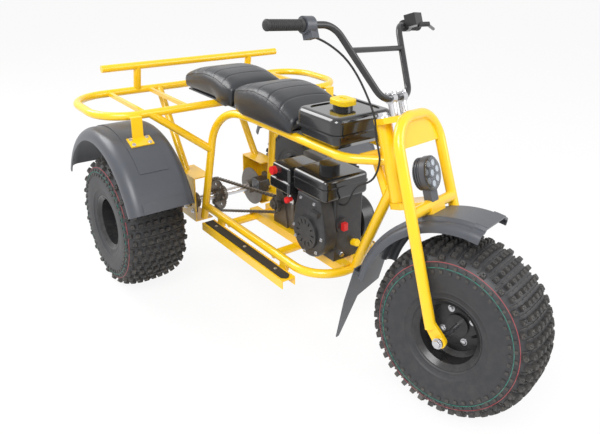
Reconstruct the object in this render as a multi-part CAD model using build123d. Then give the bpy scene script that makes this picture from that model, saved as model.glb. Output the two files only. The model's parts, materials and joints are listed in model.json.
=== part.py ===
from build123d import *
import os
from math import atan2, cos, degrees, pi, radians, sin, tan

os.makedirs("parts", exist_ok=True)

# A three-wheeled all-terrain vehicle, in millimetres.
# X points forward, Y to the rider's left and Z up. While it is drawn, X = 0 is at the rear axle and
# heights count from a base plane AXLE_Z below it, which is the ground under tyres of that radius.
# The last section moves everything to the middle of the vehicle's own box, with the tyres on the ground.

# Wheels: low-pressure balloon tyres on eight-inch steel rims
TYRE_R = 280.0            # to the flat tops of the crown lugs
TYRE_W = 252.0
TYRE_SIDES = 16           # flats round the carcass, each with a set of lugs
TYRE_RINGS = (
    # share of the half width, share of the height from bead to crown
    (0.78, 0.00),
    (1.00, 0.50),
    (0.93, 0.80),
    (0.38, 1.00),
)
TYRE_HOLLOW = (
    # the same for the hollow, open between the beads
    (0.68, 0.00),
    (0.78, 0.74),
)
LUG_L = 42.0              # along the tread
LUG_H = 12.0
LUG_ROOT = 4.0            # how far a lug reaches into the carcass
LUG_ROWS = (
    # share of the half width, width, which of two alternate flats
    (0.00, 26.0, 1),
    (0.21, 26.0, 0),
    (0.52, 25.0, 1),
    (0.68, 25.0, 0),
)
BEAD_R = 101.0
RIM_LIP_R = 116.0
RIM_HALF = 112.0
RIM_WELL_R = 86.0
RIM_WALL = 4.0
RIM_DISC_OUT = 20.0       # the disc lies this far outboard of the wheel's mid-plane
HUB_R = 37.0
REAR_TRACK = 942.0
AXLE_Z = 280.0            # height of the rear axle
FIT = 0.05                # radial clearance of a running fit
SEAT_GAP = 0.3            # clearance of parts that only lie against each other

# Rear axle, its bearings, sprocket and brake
AXLE_D = 35.0
AXLE_PAST_DISC = 34.0
BOX_X = (-112.0, 55.0)
BOX_Y = (131.0, 214.0)
BOX_Z = (200.0, 408.0)
BOX_T = 5.0
BORE_GAP = 6.0            # the axle passes through the box walls with this much room
BEARING_SIDE = 92.0
BEARING_T = 34.0
BEARING_R = 34.0
BEARING_FLANGE = 12.0
BEARING_CORNER = 16.0
SPROCKET_Y = -67.0
SPROCKET_PITCH_R = 77.0
SMALL_PITCH_R = 33.0
SPROCKET_T = 6.0
CHAIN_W = 15.0
CHAIN_H = 11.0
ROLLER_R = 4.2
CHAIN_PITCH = 12.7
LINK_L = 14.5             # an outer plate, a little longer than one pitch
CHAIN_CORE_W = 9.0        # the inner links, narrower than the outer plates
TOOTH_H = 7.0
TOOTH_SHAPE = (
    # share of one tooth's pitch, share of the tooth's height below its tip
    (0.00, 1.0),
    (0.34, 1.0),
    (0.54, 0.0),
    (0.80, 0.0),
)
SPROCKET_HUB_R = 34.0
SPROCKET_HUB = (-24.0, 30.0)
SPROCKET_HOLES = 6
SPROCKET_HOLE_R = 9.0
SPROCKET_HOLE_AT = 49.0   # radius of the ring of holes
SMALL_HUB_R = 20.0
SMALL_HUB = (-10.0, 14.0)
TOOTH_GAP = 0.8           # the fixed chain clears the turning teeth by this much
DISC_Y = 112.0
DISC_R = 90.0
DISC_T = 4.0
CALIPER_X = (49.5, 116.0)
CALIPER_BESIDE = (30.0, 24.0)   # inboard and outboard of the disc
CALIPER_Z = (6.0, 66.0)         # above the axle
CALIPER_ROUND = 4.0
CALIPER_GAP = (6.0, 2.0)        # beyond the disc's rim, and at each face
CALIPER_ARM = 12.0
CALIPER_ARM_Z = (20.0, 52.0)

# Tubular frame
TUBE_D = 33.0
SIDE_Y = 171.0
RAIL_Y = 108.0
LOWER_Z = 275.0
RAIL_Z = 743.0
ARCH_FOOT = (60.0, 174.0, 215.0)
ARCH_CORNER = (148.0, 146.0)
ARCH_BEND = 190.0
RAIL_START_X = 380.0
RAIL_SWEEP = 300.0
RAIL_BEND = 110.0
LOOP_FRONT_X = 897.0
LOOP_BEND = 140.0
CROSS_X = (272.0, 613.0)
CROSS_DROP = 13.0         # the cross tubes lie this far below the loop

# Steering head
HEAD_X = 1063.0
HEAD_Z = 737.0
RAKE = 20.0
HEAD_L = 259.0
HEAD_D = 54.0
STEM_D = 34.0
STEER_REST = 16.2         # the front wheel rests turned to the left by this angle
DOWN_TUBE_D = 38.0
DOWN_TUBE_UP = 62.0       # where it meets the head, above the head tube's lower end

# Fork, in the steering head's own frame: x forward, z up along the steering axis
FORK_D = 36.0
FORK_X = 122.0
FORK_TOP_Z = 142.0
FORK_TOP_HALF = 134.0
FORK_FOOT_HALF = 153.0
FORK_BEND = 104.0
WHEEL_X = 145.0
CROSSBAR_Z = -150.0
SADDLE_GAP = 4.0          # the front fender hangs this far under the crossbar, on a saddle
SADDLE_SIZE = (40.0, 90.0, 40.0)
PLATE_BOTTOM_Z = 48.0
PLATE_T = 4.0
LUG_T = 12.0
LUG_R = 21.0
LEG_ABOVE_AXLE = 40.0      # the fork's tube ends this far above the axle
LUG_ON_LEG = (14.0, 17.0)  # the lug's rounded upper end: above the tube's end, and its radius
FRONT_AXLE_D = 16.0
FRONT_AXLE_HALF = 174.0
AXLE_NUT = (13.0, 10.0)    # radius and thickness
YOKE_T = 20.0
YOKE_HALF = 52.0
YOKE_REAR_R = 32.0        # the arms are round behind the steering axis, clear of the down tube
YOKE_GAP = 0.6

# Handlebar, in the steering head's own frame
BAR_D = 22.0
BAR_BOTTOM = (65.0, 85.0, 207.0)
BAR_BEND = (12.0, 192.0, 455.0)
BAR_END = (-40.0, 434.0, 465.0)
BAR_CROSS_Z = 372.0
GRIP_L = 128.0
GRIP_D = 35.0
CLAMP_Y = 33.0
CLAMP_W = 26.0
CLAMP_WALL = 7.0
BAR_BENDS = (70.0, 60.0, 60.0, 70.0)
BAR_CROSS_D = 18.0
GRIP_PAST = 4.0           # the grips' closed ends
THROTTLE = (34.0, 52.0)   # length and diameter of the housing round the bar
THROTTLE_BOX = (34.0, 34.0, 30.0)
THROTTLE_BOX_AT = (-22.0, 92.0, -22.0)
MASTER_CLAMP = (8.0, 40.0, 42.0)   # from the grip, length, diameter
MASTER_BOX = (44.0, 52.0, 44.0)
MASTER_BOX_AT = (24.0, 76.0, 14.0)
LEVER_PIVOT = ((40.0, 76.0, -6.0), (64.0, 110.0, -10.0))
LEVER_ROOT = (62.0, 100.0, -10.0)
LEVER_TIP = (84.0, -40.0, -30.0)
LEVER_D = (18.0, 12.0)

# Throttle cable: the upper run turns with the bar, the lower one is tied to the frame.
# Both are cut square to the steering axis where they meet.
CABLE_D = 7.0
CABLE_SPLIT_Z = 55.0
CABLE_SPLIT_GAP = 0.6
CABLE_UPPER = (
    # in the steering head's own frame, then the radius of the bend there
    (-12.0, -268.0, 424.0, 0.0),
    (-16.0, -205.0, 412.0, 40.0),
    (12.0, -128.0, 330.0, 60.0),
    (22.0, -74.0, 165.0, 40.0),
    (-8.0, -50.0, 104.0, 22.0),
)
CABLE_FOOT = (-8.0, -50.0)
CABLE_KNEE = (34.0, 20.0)  # how far the lower run goes straight on, and its bend there
CABLE_LOWER = (
    # while drawn from the rear axle, then the radius of the bend there
    (1046.0, -46.0, 708.0, 24.0),
    (1010.0, -40.0, 660.0, 30.0),
    (934.0, -44.0, 624.0, 30.0),
    (892.0, -40.0, 524.0, 22.0),
)

# Lamp
LAMP_R = 56.0
LAMP_L = 46.0
LAMP_FACE_X = 146.0
LAMP_Z = -48.0
LAMP_BEZEL = 18.0
LAMP_FIN_IN = 3.0
LAMP_CORE_IN = 11.0
LAMP_FIN_T = 4.0
LAMP_FINS = 3
LENS_T = 4.0
LAMP_STAY = (28.0, 44.0)

# Front fender and its mud flap
FENDER_T = 4.0
FRONT_FENDER_HALF = 112.0
FRONT_FENDER_DROP = 42.0
FRONT_FENDER_ANGLES = (60.0, 148.0)
FRONT_CROWN_HALF = 74.0   # the raised flat along the middle of the front fender
FRONT_CROWN_FOOT = 82.0
FRONT_CROWN_RISE = 11.0
FRONT_SHOULDER = 24.0
CROWN_ROUND = 4.0
HEM_SPAN = 6.0            # degrees of arc
HEM_RISE = 3.0
FLAP_LENGTH = 275.0
FLAP_IN = 6.0             # the flap is this much narrower than the fender on each side
FLAP_TOP = 24.0
FLAP_EDGES = (96.0, 110.0, 120.0)
FLAP_TAIL = (0.2, 0.62, 0.76)

# Rear fenders
REAR_FENDER_R = 402.0
REAR_FENDER_Y = (352.0, 612.0)
REAR_FENDER_DROP = 50.0
REAR_SHOULDER = 44.0
REAR_FENDER_ANGLES = (24.0, 158.0)
PANEL_HALF = 58.0         # the raised panel under the bracket
PANEL_RISE = 2.5
PANEL_ANGLES = (46.0, 118.0)

# Rack
RACK_REAR_X = -322.0
RACK_FRONT_X = 85.0
RACK_HALF = 594.0
RACK_BEND = 150.0
SLAT_Y = (235.0, 420.0)
SLAT_W = 16.0
BAR_RAIL_X = -300.0
BAR_RAIL_Z = 859.0
BAR_RAIL_HALF = 449.0
POST_Y = 289.0
STRUT_Y = 184.0
STRUT_FOOT_X = -64.0
BRACE_Y = 405.0
BRACE_FOOT_Z = 550.0
BRACKET_IN = 116.0        # the fender bracket stands this far inside the rack's end
BRACKET_W = 44.0
BRACKET_T = 5.0
BRACKET_ANGLES = (64.0, 71.5)
BRACKET_FOOT_W = 92.0

# Foot steps
STEP_X = (165.0, 778.0)
STEP_Y = (183.0, 240.0)
STEP_TOP_Z = 244.0
STEP_H = 32.0
STEP_T = 3.0
STEP_TAB_X = (225.0, 700.0)
STEP_TAB_W = 40.0
STEP_TEETH = 44
STEP_TOOTH_RISE = 5.0
PAD_T = 5.0
PAD_MARGIN = 10.0
PAD_CORNER = 14.0

# Seat
SEAT_X = (-168.0, 262.0, 692.0)
SEAT_HALF = 142.0
SEAT_BASE_T = 6.0
SEAT_TOP_Z = 884.0
SEAT_VALLEY_Z = 846.0
SEAT_REAR_Z = 832.0
SEAT_FRONT_Z = 806.0
SKIRT_T = 8.0
SKIRT_BOTTOM_Z = 742.0
SKIRT_REAR_X = 112.0

# Fuel tank
TANK_X = (702.0, 934.0)
TANK_HALF = 134.0
TANK_TOP_Z = 872.0
TANK_SEAM_Z = 812.0
TANK_SEAM_T = 5.0
TANK_SEAM_OUT = 7.0
TANK_LOW_IN = 10.0        # the lower half is this much smaller on each side
TANK_CORNER = 34.0
TANK_TOP_ROUND = 22.0
TANK_CHAMFER = 18.0
TANK_DISH_IN = 30.0       # the dished top starts this far inside the sides
TANK_DISH = 4.0
CAP_X = 806.0
NECK_R = 36.0
NECK_H = 10.0
CAP_SIZE = (86.0, 74.0, 20.0)
CAP_CORNER = 24.0
CAP_ROUND = 5.0
CAP_SLOT = (36.0, 14.0, 4.0)

# Engine: one horizontal-shaft single, its crankshaft across the frame
ENGINE_X = 765.0
ENGINE_RAIL_Y = (-35.0, 45.0)
ENGINE_RAIL_W = 40.0
ENGINE_RAIL_T = 4.0
ENGINE_RAIL_TOP = 298.0
CRANK_H = 106.0
CRANK_D = 20.0
BLOCK_BEHIND = 92.0       # the crankcase reaches this far behind the crankshaft
BLOCK_AHEAD = 85.0
BLOCK_Y = (-60.0, 75.0)
BLOCK_ROUND = 12.0
FOOT_H = 46.0
SHAFT_BOSS_R = 46.0
SHAFT_IN = 40.0           # the crankshaft's end reaches this far into the belt cover
CYLINDER_LEAN = 20.0
CYLINDER_END = 190.0      # from the crankshaft to the cylinder head
CYLINDER_HALF = (36.0, 38.0)
FIN_HALF = (45.0, 58.0)
FIN_T = 6.0
FIN_STEP = 14.0
FINS = 7
VALVE_COVER = 14.0
RECOIL_R = 98.0
RECOIL_Y = (-120.0, -60.0)
RECOIL_TOP = (130.0, 40.0)   # the housing's upper end, wide and tall
RECOIL_ROUND = 14.0
CUP_R = 62.0
CUP_RISE = 10.0
CUP_SLOTS = 12
CUP_SLOT = (18.0, 6.0, 4.0)
CUP_SLOT_AT = 44.0
HANDLE_SIZE = (44.0, 14.0, 16.0)
HANDLE_AT = (52.0, 92.0)
SWITCH_BOSS_R = 28.0
SWITCH_BOSS_T = 12.0
SWITCH_SIZE = (16.0, 20.0, 28.0)
SWITCH_AT = (-30.0, 36.0)    # across, and above the crankshaft
ENGINE_TANK_X = (680.0, 875.0)
ENGINE_TANK_Y = (-128.0, 74.0)
ENGINE_TANK_Z = (550.0, 635.0)
ENGINE_TANK_ROUND = 16.0
ENGINE_SEAM_Z = 600.0
ENGINE_SEAM = (4.0, 5.0)     # how far it stands out, how thick it is
ENGINE_CAP_R = 38.0
ENGINE_CAP_H = 22.0
ENGINE_CAP_SIDES = 16
ENGINE_CAP_X = 773.0
FILTER_X = (545.0, 673.0)
FILTER_Y = (-140.0, 20.0)
FILTER_Z = (520.0, 620.0)
FILTER_SPLIT_Z = 566.0
FILTER_LID_IN = 8.0
FILTER_ROUND = 10.0
KNOB_R = 16.0
KNOB_H = 18.0
KNOB_AT = (574.0, 592.0)
MUFFLER_X = (520.0, 645.0)
MUFFLER_Y = (36.0, 165.0)
MUFFLER_Z = (520.0, 622.0)
MUFFLER_ROUND = 8.0
GUARD_SLOTS = 8
GUARD_SLOT = (5.0, 74.0, 4.0)
EXHAUST_D = 28.0
EXHAUST_AT = 70.0            # behind the muffler's rear wall

# Belt drive and jackshaft
JACK_X = 470.0
JACK_Z = 397.0
JACK_D = 20.0
JACK_END = 18.0           # the shaft's end stands this far outside the chain's line
JACK_UPRIGHT_R = 30.0
JACK_UPRIGHT_T = 8.0
JACK_FOOT = (96.0, 24.0)
GEAR_CASE_X = (424.0, 550.0)
GEAR_CASE_TOP = 452.0
GEAR_CASE_ROUND = 14.0
BELT_ROUND = 14.0
BELT_Y = (84.0, 146.0)
BELT_R = (88.0, 96.0)

nodes = {}


def tube(points, bend, diameter):
    """A round tube along straight runs joined by tangent arcs."""
    path = FilletPolyline(*points, radius=bend) if len(points) > 2 else Line(*points)
    ring = Plane(origin=path @ 0, z_dir=path % 0) * Circle(diameter / 2)
    return sweep(ring, path=path)


def rod(start, end, diameter):
    """A straight round bar between two points."""
    return tube((start, end), 0, diameter)


def block(x, y, z, radius=0.0):
    """A box between limits on each axis, with its edges rounded."""
    middle = ((x[0] + x[1]) / 2, (y[0] + y[1]) / 2, (z[0] + z[1]) / 2)
    solid = Pos(*middle) * Box(x[1] - x[0], y[1] - y[0], z[1] - z[0])
    return fillet(solid.edges(), radius) if radius else solid


def across(y0, y1, sketch):
    """Extrude a sketch drawn in X and Z from y0 to y1."""
    plane = Plane(origin=(0, y0, 0), x_dir=(1, 0, 0), z_dir=(0, 1, 0))
    # This plane's own vertical axis points down, so the sketch is mirrored into it.
    return extrude(plane * mirror(sketch, about=Plane.XZ), y1 - y0)


def disc(centre, radius, y0, y1):
    """A round plate or shaft across the vehicle, centred on a point of X and Z."""
    return across(y0, y1, Pos(*centre) * Circle(radius))


def mirrored(solid):
    return mirror(solid, about=Plane.XZ)


def both_sides(name, solid):
    """A right-hand piece and its left-hand twin, as two nodes."""
    nodes[name + "_right"] = solid
    nodes[name + "_left"] = mirrored(solid)


half_width = TYRE_W / 2
crown_r = TYRE_R - LUG_H


def tyre_rings(table):
    """Corners of the tyre's section as flat radii and places across, from one bead to the other."""
    one_side = [(BEAD_R + up * (crown_r - BEAD_R), half_width * out) for out, up in table]
    return [(radius, -y) for radius, y in one_side] + one_side[::-1]


def on_carcass(y):
    """Flat radius and outward lean of the carcass at a place across the tread."""
    rings = tyre_rings(TYRE_RINGS)
    for (r0, y0), (r1, y1) in zip(rings, rings[1:]):
        if y0 <= y <= y1:
            return r0 + (r1 - r0) * (y - y0) / (y1 - y0), degrees(atan2(r0 - r1, y1 - y0))


def wheel_tyre():
    """Balloon tyre about the Y axis: a hollow many-sided carcass with lugs standing on its flats."""
    step = 360 / TYRE_SIDES
    reach = TYRE_R * tan(radians(step / 2))
    outline = Polyline(*tyre_rings(TYRE_RINGS), *tyre_rings(TYRE_HOLLOW)[::-1], close=True)
    wedge = make_face(Polyline((0, 0), (TYRE_R, -reach), (TYRE_R, reach), close=True))
    sector = extrude(make_face(outline), reach, both=True) & across(-half_width, half_width, wedge)
    sectors = [sector, sector]
    for out, width, turn in LUG_ROWS:
        for y in {-out * half_width, out * half_width}:
            radius, lean = on_carcass(y)
            lug = Pos((LUG_H - LUG_ROOT) / 2, 0, 0) * Box(LUG_H + LUG_ROOT, width, LUG_L)
            sectors[turn] += Pos(radius, y, 0) * Rotation(0, 0, lean) * lug
    return Part() + [Rotation(0, 90 + flat * step, 0) * sectors[flat % 2] for flat in range(TYRE_SIDES)]


def wheel_rim(bore):
    """Pressed steel rim about the Y axis, its disc outboard (towards -Y), with a bored hub."""
    seat = BEAD_R - SEAT_GAP
    barrel = Polyline(
        (RIM_LIP_R, -RIM_HALF),
        (seat, -RIM_HALF + 10),
        (seat, -46),
        (RIM_WELL_R, -34),
        (RIM_WELL_R, 34),
        (seat, 46),
        (seat, RIM_HALF - 10),
        (RIM_LIP_R, RIM_HALF),
        (RIM_LIP_R - RIM_WALL, RIM_HALF),
        (seat - RIM_WALL, RIM_HALF - 12),
        (seat - RIM_WALL, 48),
        (RIM_WELL_R - RIM_WALL, 36),
        (RIM_WELL_R - RIM_WALL, -36),
        (seat - RIM_WALL, -48),
        (seat - RIM_WALL, -RIM_HALF + 12),
        (RIM_LIP_R - RIM_WALL, -RIM_HALF),
        close=True,
    )
    rim = revolve(make_face(barrel), axis=Axis.Y)
    rim += disc((0, 0), RIM_WELL_R - RIM_WALL / 2, -RIM_DISC_OUT - 5, -RIM_DISC_OUT)
    rim += disc((0, 0), HUB_R, -RIM_DISC_OUT - 14, RIM_HALF - 30)
    return rim - disc((0, 0), bore / 2 + FIT, -RIM_HALF, RIM_HALF)


# The steering axis, and the frame that rides on it
rake = radians(RAKE)
steer_axis = Vector(-sin(rake), 0, cos(rake))
steer_forward = Vector(cos(rake), 0, sin(rake))
head = Vector(HEAD_X, 0, HEAD_Z)
head_plane = Plane(origin=head, x_dir=steer_forward, z_dir=steer_axis)
straight = Location(head_plane)
turned = straight * Rotation(0, 0, STEER_REST)


def on_axis(z):
    """The point of the steering axis at a height above the ground."""
    return head + steer_axis * ((z - HEAD_Z) / cos(rake))


# The front tyre touches the ground when the fork is turned to its rest angle
tyre = wheel_tyre()
trial_z = -(HEAD_Z - AXLE_Z) / cos(rake)
lowest = (turned * Pos(WHEEL_X, 0, trial_z) * tyre).bounding_box().min.Z
WHEEL_Z = trial_z - (lowest - (AXLE_Z - TYRE_R)) / cos(rake)

# Front wheel
front_wheel = turned * Pos(WHEEL_X, 0, WHEEL_Z)
nodes["front_tyre"] = front_wheel * tyre
nodes["front_rim"] = front_wheel * wheel_rim(FRONT_AXLE_D)

# Rear axle with both rear wheels
right_wheel = Pos(0, -REAR_TRACK / 2, AXLE_Z)
both_sides("rear_tyre", right_wheel * tyre)
both_sides("rear_rim", right_wheel * wheel_rim(AXLE_D))
axle_half = REAR_TRACK / 2 + RIM_DISC_OUT + AXLE_PAST_DISC
rear_axle = disc((0, AXLE_Z), AXLE_D / 2, -axle_half, axle_half)
nodes["rear_axle"] = chamfer(rear_axle.edges(), 3)


def sprocket(pitch_r, hub_r, hub, bore_r):
    """Toothed wheel about the Y axis, in the chain's plane, its tips just inside the chain's rollers."""
    tip_r = (pitch_r - ROLLER_R) * cos(CHAIN_PITCH / pitch_r) - TOOTH_GAP
    teeth = round(2 * pi * pitch_r / CHAIN_PITCH)
    outline = []
    for tooth in range(teeth):
        for along, below in TOOTH_SHAPE:
            angle = 2 * pi * (tooth + along) / teeth
            radius = tip_r - below * TOOTH_H
            outline.append((radius * cos(angle), radius * sin(angle)))
    rim = make_face(Polyline(*outline, close=True))
    body = across(SPROCKET_Y - SPROCKET_T / 2, SPROCKET_Y + SPROCKET_T / 2, rim)
    body += disc((0, 0), hub_r, SPROCKET_Y + hub[0], SPROCKET_Y + hub[1])
    return body - disc((0, 0), bore_r, SPROCKET_Y + hub[0], SPROCKET_Y + hub[1])


drive_sprocket = sprocket(SPROCKET_PITCH_R, SPROCKET_HUB_R, SPROCKET_HUB, AXLE_D / 2 + FIT)
sprocket_holes = PolarLocations(SPROCKET_HOLE_AT, SPROCKET_HOLES) * Circle(SPROCKET_HOLE_R)
drive_sprocket -= across(SPROCKET_Y - SPROCKET_T, SPROCKET_Y + SPROCKET_T, Sketch() + sprocket_holes)
nodes["drive_sprocket"] = Pos(0, 0, AXLE_Z) * drive_sprocket
brake_disc = disc((0, AXLE_Z), DISC_R, DISC_Y - DISC_T / 2, DISC_Y + DISC_T / 2)
brake_disc += disc((0, AXLE_Z), 32, DISC_Y - 30, DISC_Y + 14)
nodes["brake_disc"] = brake_disc - disc((0, AXLE_Z), AXLE_D / 2 + FIT, -axle_half, axle_half)

# Side tubes: up from the axle box, over in an arch and forward to the head
rail_end = on_axis(RAIL_Z)
head_ends = (head - steer_axis * (HEAD_L / 2), head + steer_axis * (HEAD_L / 2))
head_outer = rod(*head_ends, HEAD_D)
arch_foot = Vector(ARCH_FOOT[0], -ARCH_FOOT[1], ARCH_FOOT[2])
arch_corner = Vector(ARCH_CORNER[0], -ARCH_CORNER[1], RAIL_Z)
side_tube = tube(
    (
        arch_foot,
        arch_corner,
        (RAIL_START_X, -RAIL_Y, RAIL_Z),
        (rail_end.X - RAIL_Y, -RAIL_Y, RAIL_Z),
        (rail_end.X, 0, RAIL_Z),
    ),
    (ARCH_BEND, RAIL_SWEEP, RAIL_BEND),
    TUBE_D,
)
side_tube = (side_tube - head_outer).solids().sort_by(SortBy.VOLUME)[-1]
both_sides("frame_side", side_tube)


def arch_at(z):
    """The point of the arch's straight leg at a height, on the right-hand side."""
    return arch_foot + (arch_corner - arch_foot) * ((z - arch_foot.Z) / (RAIL_Z - arch_foot.Z))


# Axle boxes: bent channels behind the arches, each with a flanged bearing on its outer wall
axle_box = block(BOX_X, (-BOX_Y[1], -BOX_Y[0]), BOX_Z)
axle_box -= block(
    (BOX_X[0] + BOX_T, BOX_X[1]), (-BOX_Y[1] + BOX_T, -BOX_Y[0]), (BOX_Z[0] + BOX_T, BOX_Z[1] - BOX_T)
)
axle_box -= disc((0, AXLE_Z), AXLE_D / 2 + BORE_GAP, -BOX_Y[1], -BOX_Y[0])
both_sides("axle_box", axle_box - side_tube)
bearing_y = -BOX_Y[1] + BOX_T
bearing = block(
    (-BEARING_SIDE / 2, BEARING_SIDE / 2),
    (bearing_y, bearing_y + BEARING_FLANGE),
    (AXLE_Z - BEARING_SIDE / 2, AXLE_Z + BEARING_SIDE / 2),
)
bearing = fillet(bearing.edges().filter_by(Axis.Y), BEARING_CORNER)
bearing += disc((0, AXLE_Z), BEARING_R, bearing_y, bearing_y + BEARING_T)
bearing -= disc((0, AXLE_Z), AXLE_D / 2 + FIT, bearing_y, bearing_y + BEARING_T)
nodes["axle_bearings"] = Part() + [bearing, mirrored(bearing)]

# Lower frame: a loop round the front, two cross tubes and the engine's rails
loop_rear = arch_at(LOWER_Z).X
lower = tube(
    (
        (loop_rear, -SIDE_Y, LOWER_Z),
        (LOOP_FRONT_X, -SIDE_Y, LOWER_Z),
        (LOOP_FRONT_X, SIDE_Y, LOWER_Z),
        (loop_rear, SIDE_Y, LOWER_Z),
    ),
    LOOP_BEND,
    TUBE_D,
)
cross_z = LOWER_Z - CROSS_DROP
for x in CROSS_X:
    lower += rod((x, -SIDE_Y, cross_z), (x, SIDE_Y, cross_z), TUBE_D)
rail_x = (CROSS_X[0] - TUBE_D / 2, LOOP_FRONT_X)
for y in ENGINE_RAIL_Y:
    outer = (y - ENGINE_RAIL_W / 2, y + ENGINE_RAIL_W / 2)
    inner = (outer[0] + ENGINE_RAIL_T, outer[1] - ENGINE_RAIL_T)
    lower += block(rail_x, outer, (cross_z, ENGINE_RAIL_TOP)) - block(
        rail_x, inner, (cross_z, ENGINE_RAIL_TOP - ENGINE_RAIL_T)
    )
lower = lower - side_tube - mirrored(side_tube)
nodes["frame_lower"] = lower

# Head: the head tube, the down tube to the loop and a brace up to the rails
down_top = on_axis(HEAD_Z - HEAD_L / 2 * cos(rake) + DOWN_TUBE_UP)
down_foot = Vector(LOOP_FRONT_X, 0, LOWER_Z)
head_frame = head_outer + rod(down_top, down_foot, DOWN_TUBE_D)
brace_top = Vector(rail_end.X - 78, 0, RAIL_Z)
brace_foot = down_top + (down_foot - down_top) * 0.16
head_frame += rod((brace_top.X, -60, RAIL_Z), (brace_top.X, 60, RAIL_Z), TUBE_D)
head_frame += rod(brace_top, brace_foot, TUBE_D)
head_frame -= rod(head - steer_axis * HEAD_L, head + steer_axis * HEAD_L, STEM_D + 2 * FIT)
head_frame = head_frame - side_tube - mirrored(side_tube) - lower
nodes["frame_head"] = head_frame.solids().sort_by(SortBy.VOLUME)[-1]



def arc_solid(face, angles):
    """Turn a section of radius and place across about the Y axis, between two angles up from the front."""
    return Rotation(0, -angles[1], 0) * revolve(face, axis=Axis.Y, revolution_arc=angles[1] - angles[0])


def closed_face(line):
    """The face between an open line and the straight line that closes it."""
    return make_face(line.edges() + [Line(line @ 1, line @ 0)])


# Rack: a long loop over both wheels, with slats, a rear bar, struts and braces
rack = tube(
    (
        (RACK_FRONT_X, 0, RAIL_Z),
        (RACK_FRONT_X, -RACK_HALF, RAIL_Z),
        (RACK_REAR_X, -RACK_HALF, RAIL_Z),
        (RACK_REAR_X, 0, RAIL_Z),
    ),
    RACK_BEND,
    TUBE_D,
)
rack += mirrored(rack)
rack += rod((BAR_RAIL_X, -BAR_RAIL_HALF, BAR_RAIL_Z), (BAR_RAIL_X, BAR_RAIL_HALF, BAR_RAIL_Z), TUBE_D)
strut_foot_z = BOX_Z[1]
for side in (-1, 1):
    for y in SLAT_Y:
        rack += block(
            (RACK_REAR_X, RACK_FRONT_X),
            (side * y - SLAT_W / 2, side * y + SLAT_W / 2),
            (RAIL_Z - SLAT_W / 2, RAIL_Z + SLAT_W / 2),
        )
    rack += rod((RACK_REAR_X, side * POST_Y, RAIL_Z), (BAR_RAIL_X, side * POST_Y, BAR_RAIL_Z), TUBE_D)
    strut_y = side * STRUT_Y
    strut = rod((RACK_REAR_X, strut_y, RAIL_Z), (STRUT_FOOT_X, strut_y, strut_foot_z - 30), TUBE_D)
    rack += strut - block((RACK_REAR_X, RACK_FRONT_X), (-RACK_HALF, RACK_HALF), (0, strut_foot_z))
    brace_end = arch_at(BRACE_FOOT_Z)
    brace_foot = (brace_end.X, -side * brace_end.Y, BRACE_FOOT_Z)
    rack += rod((RACK_FRONT_X, side * BRACE_Y, RAIL_Z), brace_foot, TUBE_D)
bracket_r = REAR_FENDER_R + PANEL_RISE
bracket_line = Pos(bracket_r + BRACKET_T / 2, 0) * Rectangle(BRACKET_T, BRACKET_FOOT_W)
bracket_foot = arc_solid(bracket_line, BRACKET_ANGLES)
foot_angle = radians(BRACKET_ANGLES[1])
stem_x = bracket_r * cos(foot_angle)
stem_z = AXLE_Z + bracket_r * sin(foot_angle)
for side in (-1, 1):
    bracket_y = side * (RACK_HALF - BRACKET_IN)
    width = (bracket_y - BRACKET_W / 2, bracket_y + BRACKET_W / 2)
    rack += Pos(0, bracket_y, AXLE_Z) * bracket_foot
    rack += block((stem_x, stem_x + BRACKET_T), width, (stem_z, RAIL_Z + BRACKET_T))
    rack += block((RACK_FRONT_X, stem_x + BRACKET_T), width, (RAIL_Z, RAIL_Z + BRACKET_T))
rack = rack - side_tube - mirrored(side_tube)
nodes["rack"] = rack.solids().sort_by(SortBy.VOLUME)[-1]


fender_half = (REAR_FENDER_Y[1] - REAR_FENDER_Y[0]) / 2


def rear_section(inset):
    """Section of a rear fender, flat on top with round shoulders."""
    side = fender_half - inset
    top = REAR_FENDER_R - inset
    foot = REAR_FENDER_R - REAR_FENDER_DROP
    return closed_face(
        FilletPolyline((foot, -side), (top, -side), (top, side), (foot, side), radius=REAR_SHOULDER - inset)
    )


rear_fender = arc_solid(rear_section(0) - rear_section(FENDER_T), REAR_FENDER_ANGLES)
panel_line = Pos(REAR_FENDER_R, 0) * Rectangle(2 * PANEL_RISE, 2 * PANEL_HALF)
rear_fender += arc_solid(panel_line, PANEL_ANGLES)
hem_line = Pos(REAR_FENDER_R, 0) * Rectangle(2 * HEM_RISE, 2 * (fender_half - REAR_SHOULDER))
rear_fender += arc_solid(hem_line, (REAR_FENDER_ANGLES[0], REAR_FENDER_ANGLES[0] + HEM_SPAN))
rear_fender = Pos(0, -(REAR_FENDER_Y[0] + REAR_FENDER_Y[1]) / 2, AXLE_Z) * rear_fender
both_sides("rear_fender", rear_fender)

# Foot steps: channels beside the lower tubes, on tabs
step = block(STEP_X, (-STEP_Y[1], -STEP_Y[0]), (STEP_TOP_Z - STEP_H, STEP_TOP_Z))
step -= block(
    (STEP_X[0] - 1, STEP_X[1] + 1),
    (-STEP_Y[1] + STEP_T, -STEP_Y[0] - STEP_T),
    (STEP_TOP_Z - STEP_H - 1, STEP_TOP_Z - STEP_T),
)
for x in STEP_TAB_X:
    step += block(
        (x - STEP_TAB_W / 2, x + STEP_TAB_W / 2),
        (-STEP_Y[0] - STEP_T, -SIDE_Y),
        (STEP_TOP_Z - STEP_T, LOWER_Z),
    )
step -= lower
tooth_pitch = (STEP_X[1] - STEP_X[0]) / STEP_TEETH
teeth_line = [(STEP_X[0], STEP_TOP_Z - STEP_T)]
for number in range(STEP_TEETH):
    teeth_line.append((STEP_X[0] + number * tooth_pitch, STEP_TOP_Z))
    teeth_line.append((STEP_X[0] + (number + 0.5) * tooth_pitch, STEP_TOP_Z + STEP_TOOTH_RISE))
teeth_line.append((STEP_X[1], STEP_TOP_Z))
teeth_line.append((STEP_X[1], STEP_TOP_Z - STEP_T))
step_teeth = make_face(Polyline(*teeth_line, close=True))
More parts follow.
